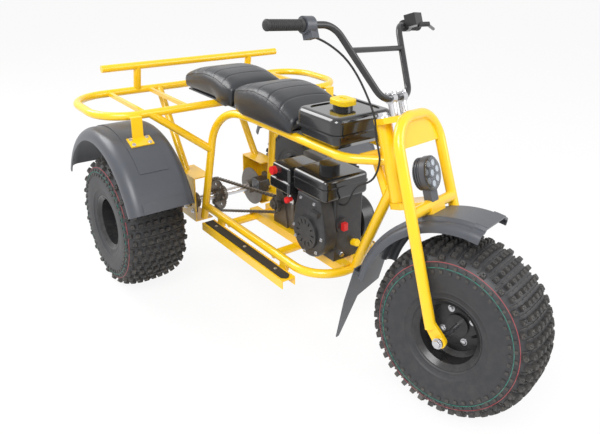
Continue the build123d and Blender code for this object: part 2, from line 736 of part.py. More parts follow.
step += across(-STEP_Y[1], -STEP_Y[1] + STEP_T, step_teeth)
step += across(-STEP_Y[0] - STEP_T, -STEP_Y[0], step_teeth)
both_sides("step", step)
pad = block(
    (STEP_X[0] + PAD_MARGIN, STEP_X[1] - PAD_MARGIN),
    (-STEP_Y[1] + PAD_MARGIN, -STEP_Y[0] - PAD_MARGIN),
    (STEP_TOP_Z, STEP_TOP_Z + PAD_T),
)
pad = chamfer(pad.edges().filter_by(Axis.Z).group_by(Axis.X)[-1], PAD_CORNER)
nodes["step_pads"] = Part() + [pad, mirrored(pad)]

# Seat: a base plate on the rails and two padded humps with hanging skirts
base_z = RAIL_Z + TUBE_D / 2
pad_z = base_z + SEAT_BASE_T
nodes["seat_base"] = block((SEAT_X[0] + 20, SEAT_X[2] - 20), (-SEAT_HALF + 24, SEAT_HALF - 24), (base_z, pad_z))


def seat_pad(x0, x1, z0, z1, skirt_x0):
    """One hump of the saddle, from its rear height z0 to its front height z1."""
    outline = make_face(
        [
            Line((x0, pad_z), (x1, pad_z)),
            Line((x1, pad_z), (x1, z1)),
            ThreePointArc((x1, z1), ((x0 + x1) / 2, SEAT_TOP_Z), (x0, z0)),
            Line((x0, z0), (x0, pad_z)),
        ]
    )
    hump = across(-SEAT_HALF, SEAT_HALF, outline)
    long_edges = [edge for edge in hump.edges() if edge.geom_type == GeomType.CIRCLE]
    hump = fillet(long_edges, 26)
    for side in (-1, 1):
        hump += block(
            (skirt_x0, x1),
            sorted((side * SEAT_HALF, side * (SEAT_HALF - SKIRT_T))),
            (SKIRT_BOTTOM_Z, pad_z + 8),
        )
    return (hump - side_tube - mirrored(side_tube)).solids().sort_by(SortBy.VOLUME)[-1]


nodes["seat_rear"] = seat_pad(SEAT_X[0], SEAT_X[1] - SEAT_GAP, SEAT_REAR_Z, SEAT_VALLEY_Z, SKIRT_REAR_X)
seat_split = SEAT_X[1] + SEAT_GAP
nodes["seat_front"] = seat_pad(seat_split, SEAT_X[2], SEAT_VALLEY_Z, SEAT_FRONT_Z, seat_split)

# Fuel tank: two pressed halves with a seam between, and a cap
def rounded_box(x, y, z, corner):
    """A box between limits, its upright edges rounded."""
    return fillet(block(x, y, z).edges().filter_by(Axis.Z), corner)


def grown(limits, amount):
    """A pair of limits moved apart by an amount at each end."""
    return (limits[0] - amount, limits[1] + amount)


tank_y = (-TANK_HALF, TANK_HALF)
tank_low = rounded_box(
    grown(TANK_X, -TANK_LOW_IN), grown(tank_y, -TANK_LOW_IN), (base_z, TANK_SEAM_Z), TANK_CORNER - TANK_LOW_IN
)
tank_low = chamfer(tank_low.faces().sort_by(Axis.Z)[0].edges(), TANK_CHAMFER)
tank_top = rounded_box(TANK_X, tank_y, (TANK_SEAM_Z, TANK_TOP_Z), TANK_CORNER)
tank_top = fillet(tank_top.faces().sort_by(Axis.Z)[-1].edges(), TANK_TOP_ROUND)
tank_top -= rounded_box(
    grown(TANK_X, -TANK_DISH_IN),
    grown(tank_y, -TANK_DISH_IN),
    (TANK_TOP_Z - TANK_DISH, TANK_TOP_Z),
    TANK_CORNER,
)
seam = rounded_box(
    grown(TANK_X, TANK_SEAM_OUT),
    grown(tank_y, TANK_SEAM_OUT),
    (TANK_SEAM_Z - TANK_SEAM_T / 2, TANK_SEAM_Z + TANK_SEAM_T / 2),
    TANK_CORNER + TANK_SEAM_OUT,
)
cap_z = TANK_TOP_Z + NECK_H
neck = Pos(CAP_X, 0, TANK_TOP_Z - TANK_DISH) * extrude(Circle(NECK_R), cap_z - TANK_TOP_Z + TANK_DISH)
nodes["fuel_tank"] = tank_low + tank_top + seam + neck
cap = Pos(CAP_X, 0, cap_z) * extrude(RectangleRounded(CAP_SIZE[0], CAP_SIZE[1], CAP_CORNER), CAP_SIZE[2])
cap = fillet(cap.faces().sort_by(Axis.Z)[-1].edges(), CAP_ROUND)
cap_top = cap_z + CAP_SIZE[2]
cap -= Pos(CAP_X, 0, cap_top - CAP_SLOT[2]) * extrude(Rectangle(CAP_SLOT[0], CAP_SLOT[1]), CAP_SLOT[2])
nodes["fuel_cap"] = cap

# Engine
crank_z = ENGINE_RAIL_TOP + CRANK_H
crank = (ENGINE_X, crank_z)
block_x = (ENGINE_X - BLOCK_BEHIND, ENGINE_X + BLOCK_AHEAD)
engine_block = block(block_x, BLOCK_Y, (ENGINE_RAIL_TOP + BLOCK_ROUND, ENGINE_TANK_Z[0]), BLOCK_ROUND)
engine_block += block(block_x, BLOCK_Y, (ENGINE_RAIL_TOP, ENGINE_RAIL_TOP + FOOT_H))
engine_block += disc(crank, SHAFT_BOSS_R, BLOCK_Y[1], BELT_Y[0])
engine_block += disc(crank, CRANK_D / 2, BLOCK_Y[1], BELT_Y[0] + SHAFT_IN)
block_mid_y = (BLOCK_Y[0] + BLOCK_Y[1]) / 2
half_z, half_y = CYLINDER_HALF
cylinder = block((-CYLINDER_END, 0), (-half_y, half_y), (-half_z, half_z))
for number in range(FINS):
    fin_x = -CYLINDER_END + number * FIN_STEP
    cylinder += block((fin_x, fin_x + FIN_T), (-FIN_HALF[1], FIN_HALF[1]), (-FIN_HALF[0], FIN_HALF[0]))
cover_half = CYLINDER_HALF[0] - BLOCK_ROUND
cover_x = (-CYLINDER_END - VALVE_COVER, -CYLINDER_END)
cylinder += block(cover_x, (-cover_half, cover_half), (-cover_half, cover_half))
engine_block += Pos(ENGINE_X, block_mid_y, crank_z) * Rotation(0, CYLINDER_LEAN, 0) * cylinder
switch_at = (SWITCH_AT[0], crank_z + SWITCH_AT[1])
boss_plane = Plane(origin=(block_x[1], *switch_at), x_dir=(0, 1, 0), z_dir=(1, 0, 0))
engine_block += extrude(boss_plane * Circle(SWITCH_BOSS_R), SWITCH_BOSS_T)
nodes["engine_block"] = engine_block

# Blower housing with the starter's slotted cup and pull handle
housing_top = Pos(ENGINE_X, ENGINE_TANK_Z[0] - RECOIL_TOP[1] / 2) * Rectangle(*RECOIL_TOP)
housing = make_hull((Pos(*crank) * Circle(RECOIL_R)).edges() + housing_top.edges())
recoil = across(*RECOIL_Y, housing)
recoil = fillet(recoil.faces().sort_by(Axis.Y)[0].edges(), RECOIL_ROUND)
cup_y = RECOIL_Y[0] - CUP_RISE
recoil += disc(crank, CUP_R, cup_y, RECOIL_Y[0])
slots = PolarLocations(CUP_SLOT_AT, CUP_SLOTS) * Rectangle(CUP_SLOT[0], CUP_SLOT[1])
recoil -= across(cup_y, cup_y + CUP_SLOT[2], Pos(*crank) * (Sketch() + slots))
handle_x = ENGINE_X + HANDLE_AT[0]
handle_z = crank_z + HANDLE_AT[1]
recoil += block(
    (handle_x - HANDLE_SIZE[0] / 2, handle_x + HANDLE_SIZE[0] / 2),
    (RECOIL_Y[0] - HANDLE_SIZE[1], RECOIL_Y[0] + RECOIL_ROUND),
    (handle_z - HANDLE_SIZE[2] / 2, handle_z + HANDLE_SIZE[2] / 2),
)
nodes["recoil_starter"] = recoil

# The engine's own tank, with a seam round it and a ribbed cap
engine_tank = block(ENGINE_TANK_X, ENGINE_TANK_Y, ENGINE_TANK_Z, ENGINE_TANK_ROUND)
engine_tank += rounded_box(
    grown(ENGINE_TANK_X, ENGINE_SEAM[0]),
    grown(ENGINE_TANK_Y, ENGINE_SEAM[0]),
    (ENGINE_SEAM_Z - ENGINE_SEAM[1] / 2, ENGINE_SEAM_Z + ENGINE_SEAM[1] / 2),
    ENGINE_TANK_ROUND + ENGINE_SEAM[0],
)
engine_tank_mid = (ENGINE_TANK_Y[0] + ENGINE_TANK_Y[1]) / 2
engine_cap = extrude(RegularPolygon(ENGINE_CAP_R, ENGINE_CAP_SIDES), ENGINE_CAP_H)
nodes["engine_tank"] = engine_tank + Pos(ENGINE_CAP_X, engine_tank_mid, ENGINE_TANK_Z[1]) * engine_cap

# Air filter: a box with a smaller lid. Muffler: a box under a slotted guard
air_filter = block(FILTER_X, FILTER_Y, (FILTER_Z[0], FILTER_SPLIT_Z), FILTER_ROUND)
lid_y = grown(FILTER_Y, -FILTER_LID_IN)
lid_z = (FILTER_SPLIT_Z - FILTER_ROUND, FILTER_Z[1])
air_filter += block(grown(FILTER_X, -FILTER_LID_IN), lid_y, lid_z, FILTER_ROUND)
nodes["air_filter"] = air_filter
muffler = block(MUFFLER_X, MUFFLER_Y, MUFFLER_Z, MUFFLER_ROUND)
guard_pitch = (MUFFLER_X[1] - MUFFLER_X[0] - 2 * MUFFLER_ROUND) / GUARD_SLOTS
for number in range(GUARD_SLOTS):
    slot_x = MUFFLER_X[0] + MUFFLER_ROUND + (number + 0.5) * guard_pitch
    slot_mid = (MUFFLER_Y[0] + MUFFLER_Y[1]) / 2
    muffler -= block(
        (slot_x - GUARD_SLOT[0] / 2, slot_x + GUARD_SLOT[0] / 2),
        (slot_mid - GUARD_SLOT[1] / 2, slot_mid + GUARD_SLOT[1] / 2),
        (MUFFLER_Z[1] - GUARD_SLOT[2], MUFFLER_Z[1]),
    )
exhaust_x = MUFFLER_X[0] + EXHAUST_AT
exhaust_y = (MUFFLER_Y[0] + MUFFLER_Y[1]) / 2
exhaust_foot = (exhaust_x, block_mid_y, crank_z + FIN_HALF[0])
exhaust_top = (exhaust_x, exhaust_y, MUFFLER_Z[0] + EXHAUST_D)
muffler += rod(exhaust_foot, exhaust_top, EXHAUST_D)
nodes["muffler"] = (muffler - engine_block).solids().sort_by(SortBy.VOLUME)[-1]

# Red controls: the filter's knob and the engine switch
knob = disc(KNOB_AT, KNOB_R, lid_y[0] - KNOB_H, lid_y[0])
switch = block(
    (block_x[1] + SWITCH_BOSS_T, block_x[1] + SWITCH_BOSS_T + SWITCH_SIZE[0]),
    (switch_at[0] - SWITCH_SIZE[1] / 2, switch_at[0] + SWITCH_SIZE[1] / 2),
    (switch_at[1] - SWITCH_SIZE[2] / 2, switch_at[1] + SWITCH_SIZE[2] / 2),
)
nodes["engine_controls"] = Part() + [knob, switch]

# Belt drive on the left, and the jackshaft behind the engine
jack = (JACK_X, JACK_Z)
belt_shape = make_hull((Pos(*crank) * Circle(BELT_R[0])).edges() + (Pos(*jack) * Circle(BELT_R[1])).edges())
belt_cover = across(*BELT_Y, belt_shape)
belt_cover = fillet(belt_cover.faces().sort_by(Axis.Y)[-1].edges(), BELT_ROUND)
belt_cover -= disc(crank, CRANK_D / 2 + FIT, BELT_Y[0], BELT_Y[0] + SHAFT_IN + SEAT_GAP)
jackshaft = disc(jack, JACK_D / 2, SPROCKET_Y - JACK_END, BELT_Y[0])
jackshaft += Pos(JACK_X, 0, JACK_Z) * sprocket(SMALL_PITCH_R, SMALL_HUB_R, SMALL_HUB, JACK_D / 2)
jack_foot = Pos(JACK_X, ENGINE_RAIL_TOP + JACK_FOOT[1] / 2) * Rectangle(*JACK_FOOT)
upright = make_hull((Pos(*jack) * Circle(JACK_UPRIGHT_R)).edges() + jack_foot.edges())
for y in ENGINE_RAIL_Y:
    jackshaft += across(y - JACK_UPRIGHT_T / 2, y + JACK_UPRIGHT_T / 2, upright)
gear_case_z = (ENGINE_RAIL_TOP + SEAT_GAP, GEAR_CASE_TOP)
jackshaft += block(GEAR_CASE_X, ENGINE_RAIL_Y, gear_case_z, GEAR_CASE_ROUND)
nodes["belt_cover"] = belt_cover
nodes["jackshaft"] = jackshaft


def loop_face(offset):
    """The face inside the chain's line, grown or shrunk by an offset."""
    rear = Pos(0, AXLE_Z) * Circle(SPROCKET_PITCH_R + offset)
    front = Pos(*jack) * Circle(SMALL_PITCH_R + offset)
    return make_hull(rear.edges() + front.edges())


pitch_line = loop_face(0).face().outer_wire()
link_pairs = round(pitch_line.length / CHAIN_PITCH / 2)
middle = Vector(JACK_X / 2, (AXLE_Z + JACK_Z) / 2)
places = []
for pair in range(link_pairs):
    at = pitch_line @ (pair / link_pairs)
    ahead = pitch_line % (pair / link_pairs)
    outward = Vector(ahead.Y, -ahead.X)
    places.append((at, outward if outward.dot(at - middle) > 0 else -outward))


def chain_ring(offset):
    """The face inside a chain of straight links, grown or shrunk by an offset."""
    return make_face(Polyline(*[at + outward * offset for at, outward in places], close=True))


core_half = CHAIN_CORE_W / 2
chain_line = chain_ring(ROLLER_R) - chain_ring(-ROLLER_R)
chain = across(SPROCKET_Y - core_half, SPROCKET_Y + core_half, chain_line)
link_rise = CHAIN_H / 2
links = []
for at, outward in places:
    link = Pos(0, (link_rise - ROLLER_R) / 2) * Rectangle(LINK_L, link_rise + ROLLER_R)
    turn = degrees(atan2(-outward.X, outward.Y))
    link = Pos(at.X, at.Y) * Rotation(0, 0, turn) * link
    links.append(across(SPROCKET_Y - CHAIN_W / 2, SPROCKET_Y + CHAIN_W / 2, link))
nodes["drive_chain"] = chain + links

# Brake caliper: straddles the disc, on an arm from the left arch
caliper = block(
    CALIPER_X,
    (DISC_Y - CALIPER_BESIDE[0], DISC_Y + CALIPER_BESIDE[1]),
    (AXLE_Z + CALIPER_Z[0], AXLE_Z + CALIPER_Z[1]),
    CALIPER_ROUND,
)
disc_half = DISC_T / 2 + CALIPER_GAP[1]
caliper -= disc((0, AXLE_Z), DISC_R + CALIPER_GAP[0], DISC_Y - disc_half, DISC_Y + disc_half)
arm_at = arch_at(AXLE_Z + (CALIPER_ARM_Z[0] + CALIPER_ARM_Z[1]) / 2)
caliper += block(
    (arm_at.X - CALIPER_ARM, arm_at.X + CALIPER_ARM),
    (DISC_Y + CALIPER_BESIDE[1] - CALIPER_ROUND, -arm_at.Y),
    (AXLE_Z + CALIPER_ARM_Z[0], AXLE_Z + CALIPER_ARM_Z[1]),
)
caliper -= mirrored(side_tube)
nodes["brake_caliper"] = caliper.solids().sort_by(SortBy.VOLUME)[-1]

# Fork: one hoop of tube with a plate in its top, a crossbar and axle lugs
leg_foot_z = WHEEL_Z + LEG_ABOVE_AXLE
hoop = tube(
    (
        (FORK_X, -FORK_FOOT_HALF, leg_foot_z),
        (FORK_X, -FORK_TOP_HALF, FORK_TOP_Z),
        (FORK_X, FORK_TOP_HALF, FORK_TOP_Z),
        (FORK_X, FORK_FOOT_HALF, leg_foot_z),
    ),
    FORK_BEND,
    FORK_D,
)


def leg_y(z):
    """How far out the fork leg stands at a height."""
    share = (FORK_TOP_Z - z) / (FORK_TOP_Z - leg_foot_z)
    return FORK_TOP_HALF + share * (FORK_FOOT_HALF - FORK_TOP_HALF)


hoop += rod((FORK_X, -leg_y(CROSSBAR_Z), CROSSBAR_Z), (FORK_X, leg_y(CROSSBAR_Z), CROSSBAR_Z), FORK_D)
front_fender_r = CROSSBAR_Z - FORK_D / 2 - WHEEL_Z - SADDLE_GAP
saddle = block(
    (FORK_X - SADDLE_SIZE[0] / 2, FORK_X + SADDLE_SIZE[0] / 2),
    (-SADDLE_SIZE[1] / 2, SADDLE_SIZE[1] / 2),
    (CROSSBAR_Z - SADDLE_SIZE[2], CROSSBAR_Z),
)
hoop += saddle - disc((WHEEL_X, WHEEL_Z), front_fender_r, -SADDLE_SIZE[1], SADDLE_SIZE[1])
inside_hoop = FilletPolyline(
    (-FORK_FOOT_HALF, leg_foot_z),
    (-FORK_TOP_HALF, FORK_TOP_Z),
    (FORK_TOP_HALF, FORK_TOP_Z),
    (FORK_FOOT_HALF, leg_foot_z),
    radius=FORK_BEND,
)
hoop_face = make_face(inside_hoop.edges() + [Line(inside_hoop @ 1, inside_hoop @ 0)])
plate = extrude(Plane.YZ.offset(FORK_X - PLATE_T / 2) * hoop_face, PLATE_T)
plate -= block((0, 2 * FORK_X), (-FORK_X * 2, FORK_X * 2), (leg_foot_z - 1, PLATE_BOTTOM_Z))
hoop += plate
for side in (-1, 1):
    lug_top = Pos(FORK_X, leg_foot_z + LUG_ON_LEG[0]) * Circle(LUG_ON_LEG[1])
    lug_foot = Pos(WHEEL_X, WHEEL_Z) * Circle(LUG_R)
    lug_outline = make_hull(lug_top.edges() + lug_foot.edges())
    mid = side * FORK_FOOT_HALF
    hoop += across(mid - LUG_T / 2, mid + LUG_T / 2, lug_outline)
hoop -= disc((WHEEL_X, WHEEL_Z), FRONT_AXLE_D / 2 + FIT, -FRONT_AXLE_HALF, FRONT_AXLE_HALF)

# Yoke: the stem in the head tube, and the plates that carry the hoop
stem_half = HEAD_L / 2 + YOKE_GAP
yoke = Pos(0, 0, -stem_half - YOKE_T) * extrude(Circle(STEM_D / 2), 2 * (stem_half + YOKE_T))
arm_front = Pos((FORK_X + YOKE_REAR_R) / 2, 0) * Rectangle(FORK_X - YOKE_REAR_R, 2 * YOKE_HALF)
arm_face = make_hull(Circle(YOKE_REAR_R).edges() + arm_front.edges())
for z in (stem_half, -stem_half - YOKE_T):
    yoke += Pos(0, 0, z) * extrude(arm_face, YOKE_T)
yoke -= hoop
yoke = yoke.solids().sort_by(SortBy.VOLUME)[-1]
nodes["fork_hoop"] = turned * hoop
nodes["steering_yoke"] = turned * yoke
front_axle = disc((WHEEL_X, WHEEL_Z), FRONT_AXLE_D / 2, -FRONT_AXLE_HALF, FRONT_AXLE_HALF)
lug_out = FORK_FOOT_HALF + LUG_T / 2
for side in (-1, 1):
    nut = sorted((side * lug_out, side * (lug_out + AXLE_NUT[1])))
    front_axle += disc((WHEEL_X, WHEEL_Z), AXLE_NUT[0], *nut)
nodes["front_axle"] = turned * front_axle

# Handlebar with its crossbar, clamps, grips and controls
x0, y0, z0 = BAR_BOTTOM
x1, y1, z1 = BAR_BEND
x2, y2, z2 = BAR_END
bar_points = ((x2, -y2, z2), (x1, -y1, z1), (x0, -y0, z0), (x0, y0, z0), (x1, y1, z1), (x2, y2, z2))
handlebar = tube(bar_points, BAR_BENDS, BAR_D)
rise = (BAR_CROSS_Z - z0) / (z1 - z0)
cross_x = x0 + rise * (x1 - x0)
cross_y = y0 + rise * (y1 - y0)
handlebar += rod((cross_x, -cross_y, BAR_CROSS_Z), (cross_x, cross_y, BAR_CROSS_Z), BAR_CROSS_D)
nodes["handlebar"] = turned * handlebar
yoke_top = stem_half + YOKE_T
clamps = Part()
for side in (-1, 1):
    y = side * CLAMP_Y
    clamp = Pos(x0, y, yoke_top) * extrude(Circle(CLAMP_W / 2), z0 - yoke_top)
    clamp += disc((x0, z0), BAR_D / 2 + CLAMP_WALL, y - CLAMP_W / 2, y + CLAMP_W / 2)
    clamp -= disc((x0, z0), BAR_D / 2 + FIT, y - CLAMP_W, y + CLAMP_W)
    clamps += clamp
nodes["handlebar_clamps"] = turned * clamps


def along_grip(side, start, length, diameter):
    """A round sleeve on the straight outer end of the bar, measured in from the bar's end."""
    end = Vector(x2, side * y2, z2)
    bend = Vector(x1, side * y1, z1)
    inward = (bend - end).normalized()
    return rod(end + inward * start, end + inward * (start + length), diameter)


grips = Part()
for side in (-1, 1):
    grip_bore = along_grip(side, 0, 2 * GRIP_L, BAR_D + 2 * FIT)
    grips += along_grip(side, -GRIP_PAST, GRIP_L + GRIP_PAST, GRIP_D) - grip_bore
nodes["grips"] = turned * grips
bar_bore = along_grip(-1, 0, 2 * GRIP_L, BAR_D + 2 * FIT)


def from_bend(side, offset, corner=(x1, y1, z1)):
    """A point given from a corner of the bar, on the right (-1) or left (1)."""
    return (corner[0] + offset[0], side * (corner[1] + offset[1]), corner[2] + offset[2])


throttle = along_grip(-1, GRIP_L + SEAT_GAP, *THROTTLE)
throttle += Pos(*from_bend(-1, THROTTLE_BOX_AT)) * Box(*THROTTLE_BOX)
nodes["throttle_housing"] = turned * (throttle - bar_bore)
left_bore = mirrored(bar_bore)
master = along_grip(1, GRIP_L + MASTER_CLAMP[0], *MASTER_CLAMP[1:])
master += Pos(*from_bend(1, MASTER_BOX_AT)) * Box(*MASTER_BOX)
master += rod(from_bend(1, LEVER_PIVOT[0]), from_bend(1, LEVER_PIVOT[1]), LEVER_D[0])
master += rod(from_bend(1, LEVER_ROOT), from_bend(1, LEVER_TIP, BAR_END), LEVER_D[1])
nodes["brake_master"] = turned * (master - left_bore)

# Throttle cable
cable_bends = [row[3] for row in CABLE_UPPER[1:]]
cable_top = [row[:3] for row in CABLE_UPPER]
cable_top.append((*CABLE_FOOT, CABLE_SPLIT_Z + CABLE_SPLIT_GAP / 2))
upper = tube(cable_top, cable_bends, CABLE_D)
nodes["throttle_cable_upper"] = turned * (upper - throttle)
cable_start = (turned * Pos(*CABLE_FOOT, CABLE_SPLIT_Z - CABLE_SPLIT_GAP / 2)).position
cable_knee = (turned * Pos(*CABLE_FOOT, CABLE_SPLIT_Z - CABLE_KNEE[0])).position
cable_line = [cable_start, cable_knee] + [row[:3] for row in CABLE_LOWER]
cable_line.append((block_x[1], *CABLE_LOWER[-1][1:3]))
cable_bends = [CABLE_KNEE[1]] + [row[3] for row in CABLE_LOWER]
nodes["throttle_cable_lower"] = tube(cable_line, cable_bends, CABLE_D)

# Lamp


def lamp_disc(radius, x0, x1):
    """A disc of the lamp, facing forward."""
    return Pos(x0, 0, LAMP_Z) * Rotation(0, 90, 0) * extrude(Circle(radius), x1 - x0)


lamp_back = LAMP_FACE_X - LAMP_L
lens_back = LAMP_FACE_X - LENS_T
lamp = lamp_disc(LAMP_R - LAMP_CORE_IN, lamp_back, lens_back)
lamp += lamp_disc(LAMP_R, lens_back - LAMP_BEZEL, lens_back)
for number in range(LAMP_FINS):
    fin_x = lamp_back + 2 * number * LAMP_FIN_T
    lamp += lamp_disc(LAMP_R - LAMP_FIN_IN, fin_x, fin_x + LAMP_FIN_T)
lamp += block(
    (FORK_X - LAMP_STAY[0] / 2, FORK_X + LAMP_STAY[0] / 2),
    (-LAMP_STAY[1] / 2, LAMP_STAY[1] / 2),
    (CROSSBAR_Z, LAMP_Z - LAMP_R + LAMP_CORE_IN + LAMP_FIN_IN),
)
nodes["headlamp"] = turned * (lamp - hoop - yoke).solids().sort_by(SortBy.VOLUME)[-1]
nodes["headlamp_lens"] = turned * lamp_disc(LAMP_R - LENS_T, lens_back, LAMP_FACE_X)

# Front fender, its top just under the crossbar, and the flap on its rear end
def front_section(inset):
    """Section of the front fender: a raised crown, a step down and round shoulders."""
    side = FRONT_FENDER_HALF - inset
    low = front_fender_r - FRONT_CROWN_RISE - inset
    top = front_fender_r - inset
    foot = front_fender_r - FRONT_FENDER_DROP
    shoulder = FRONT_SHOULDER - inset
    return closed_face(
        FilletPolyline(
            (foot, -side),
            (low, -side),
            (low, -FRONT_CROWN_FOOT),
            (top, -FRONT_CROWN_HALF),
            (top, FRONT_CROWN_HALF),
            (low, FRONT_CROWN_FOOT),
            (low, side),
            (foot, side),
            radius=(shoulder, CROWN_ROUND, CROWN_ROUND, CROWN_ROUND, CROWN_ROUND, shoulder),
        )
    )


front_fender = arc_solid(front_section(0) - front_section(FENDER_T), FRONT_FENDER_ANGLES)
hem_angles = (FRONT_FENDER_ANGLES[0], FRONT_FENDER_ANGLES[0] + HEM_SPAN)
front_fender += arc_solid(front_section(-HEM_RISE) - front_section(FENDER_T), hem_angles)
nodes["front_fender"] = front_wheel * front_fender
flap_angle = radians(FRONT_FENDER_ANGLES[1])
flap_origin = (front_fender_r * cos(flap_angle), 0, front_fender_r * sin(flap_angle))
flap_plane = Plane(
    origin=flap_origin, x_dir=(0, 1, 0), z_dir=(cos(flap_angle), 0, sin(flap_angle))
)
down = -1 if flap_plane.y_dir.Z > 0 else 1
flap_half = FRONT_FENDER_HALF - FLAP_IN
flap_outline = Polyline(
    (-flap_half, -down * FLAP_TOP),
    (flap_half, -down * FLAP_TOP),
    (flap_half, down * FLAP_EDGES[0]),
    (-FLAP_TAIL[0] * flap_half, down * FLAP_EDGES[2]),
    (-FLAP_TAIL[1] * flap_half, down * FLAP_LENGTH),
    (-FLAP_TAIL[2] * flap_half, down * FLAP_LENGTH),
    (-flap_half, down * FLAP_EDGES[1]),
    close=True,
)
flap = extrude(flap_plane * make_face(flap_outline), FENDER_T)
nodes["front_flap"] = front_wheel * flap

# Everything moves so that the origin is under the middle of the vehicle's box
whole = Compound([solid for shape in nodes.values() for solid in shape.solids()])
box = whole.bounding_box()
to_origin = Pos(-(box.min.X + box.max.X) / 2, -(box.min.Y + box.max.Y) / 2, -box.min.Z)
for name, shape in nodes.items():
    export_step(to_origin * shape, f"parts/{name}.step")
print(f"moved by {to_origin.position}, wheel at {WHEEL_Z:.2f}, box {box.size}")
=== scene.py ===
# %% [markdown]
# A three-wheeled all-terrain vehicle, dressed for its photograph.
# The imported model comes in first, as a fixed frame: every node already stands where the real piece stands,
# in metres, with X forward, Y to the rider's left and Z up. The cells below give each node its finish and
# put finer pieces over the plain ones. Nothing here moves or resizes the frame.

# %% Load the frame
import json
import math
import bmesh
import bpy
from mathutils import Matrix, Vector


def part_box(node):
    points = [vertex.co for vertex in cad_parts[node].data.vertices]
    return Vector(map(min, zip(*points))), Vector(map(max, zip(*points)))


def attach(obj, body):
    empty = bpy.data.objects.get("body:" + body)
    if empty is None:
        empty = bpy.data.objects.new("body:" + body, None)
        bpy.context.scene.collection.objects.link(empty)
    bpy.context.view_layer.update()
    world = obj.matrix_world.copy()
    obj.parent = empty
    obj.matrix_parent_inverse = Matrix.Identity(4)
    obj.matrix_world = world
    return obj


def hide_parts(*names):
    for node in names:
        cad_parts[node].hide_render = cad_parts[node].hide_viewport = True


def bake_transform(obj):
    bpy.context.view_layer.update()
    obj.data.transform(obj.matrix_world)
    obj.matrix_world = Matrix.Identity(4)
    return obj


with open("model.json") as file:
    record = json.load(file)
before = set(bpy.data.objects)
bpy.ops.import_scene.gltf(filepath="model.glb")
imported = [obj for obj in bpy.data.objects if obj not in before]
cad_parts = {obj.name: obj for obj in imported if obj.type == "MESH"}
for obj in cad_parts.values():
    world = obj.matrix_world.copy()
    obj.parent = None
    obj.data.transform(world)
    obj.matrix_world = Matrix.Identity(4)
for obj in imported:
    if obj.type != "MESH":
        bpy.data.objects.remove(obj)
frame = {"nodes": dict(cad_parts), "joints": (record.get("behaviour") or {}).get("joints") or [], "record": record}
nodes = frame["nodes"]
joints = {joint["name"]: joint for joint in frame["joints"]}
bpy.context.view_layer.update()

# %% [markdown]
# The camera stands in front of the vehicle, on its right, a little above the handlebar, and looks down at it.
# Its place and angles were fitted to the wheels, the rear bar and the rack, so they are written as real
# sizes: metres and degrees. The picture was cropped off-centre, so a lens shift puts the middle of the
# lens back where it was. The shift is a share of the picture's width.

# %% Camera
PICTURE = (600.0, 434.0)
CAMERA_PLACE = Vector((1.7993, -1.3671, 1.4357))
CAMERA_YAW = math.radians(139.17)
CAMERA_DOWN = math.radians(18.40)
CAMERA_ROLL = math.radians(-1.88)
LENS_WIDTHS = 626.14 / PICTURE[0]      # focal length in picture widths
LENS_MIDDLE = (351.73, 145.97)         # where the lens looks, in picture pixels


def camera_matrix():
    """The camera's place and turn, from its yaw, its tilt down and its roll."""
    ahead = Vector((
        math.cos(CAMERA_YAW) * math.cos(CAMERA_DOWN),
        math.sin(CAMERA_YAW) * math.cos(CAMERA_DOWN),
        -math.sin(CAMERA_DOWN),
    ))
    right = Vector((math.sin(CAMERA_YAW), -math.cos(CAMERA_YAW), 0.0))
    down = ahead.cross(right)
    rolled_right = right * math.cos(CAMERA_ROLL) + down * math.sin(CAMERA_ROLL)
    rolled_down = down * math.cos(CAMERA_ROLL) - right * math.sin(CAMERA_ROLL)
    turn = Matrix((rolled_right, -rolled_down, -ahead)).transposed()
    return Matrix.Translation(CAMERA_PLACE) @ turn.to_4x4()


camera_data = bpy.data.cameras.new("photo_camera")
camera_data.sensor_fit = "HORIZONTAL"
camera_data.lens = LENS_WIDTHS * camera_data.sensor_width
camera_data.shift_x = (PICTURE[0] / 2 - LENS_MIDDLE[0]) / PICTURE[0]
camera_data.shift_y = (LENS_MIDDLE[1] - PICTURE[1] / 2) / PICTURE[0]
camera = bpy.data.objects.new("photo_camera", camera_data)
camera.matrix_world = camera_matrix()
bpy.context.scene.collection.objects.link(camera)
bpy.context.scene.camera = camera
lens_shift = [round(shift, 3) for shift in (camera_data.shift_x, camera_data.shift_y)]
print("lens", round(camera_data.lens, 2), "shift", lens_shift)

# %% [markdown]
# The stage is a wide pale floor under a white sky. The floor keeps the vehicle's shadow: its shader mixes
# a plain diffuse white, which can be shaded, with a little white that only the camera and mirrors see.
# A large soft lamp stands over the camera's right shoulder, as in a bright yard, and two weaker ones
# lift the far side and the rear.

# %% Stage
FLOOR_SIZE = 60.0
FLOOR_GLOW = 0.90        # how much of the floor is plain white to the camera
SKY_LIGHT = 0.55
LAMPS = (
    # name, place, aims at, size in metres, watts
    ("key", (2.6, -3.4, 4.6), (0.1, 0.0, 0.5), 3.2, 260.0),
    ("fill", (3.6, 2.6, 2.6), (0.3, 0.0, 0.5), 3.0, 90.0),
    ("rear", (-3.2, -1.6, 3.4), (-0.3, 0.0, 0.6), 2.6, 110.0),
)


def seen_directly(tree):
    """A value of 1 for rays from the camera, mirrors and glass, and 0 for light that falls on things."""
    path = tree.nodes.new("ShaderNodeLightPath")
    value = path.outputs["Is Camera Ray"]
    for name in ("Is Glossy Ray", "Is Transmission Ray"):
        either = tree.nodes.new("ShaderNodeMath")
        either.operation = "MAXIMUM"
        tree.links.new(value, either.inputs[0])
        tree.links.new(path.outputs[name], either.inputs[1])
        value = either.outputs[0]
    return value


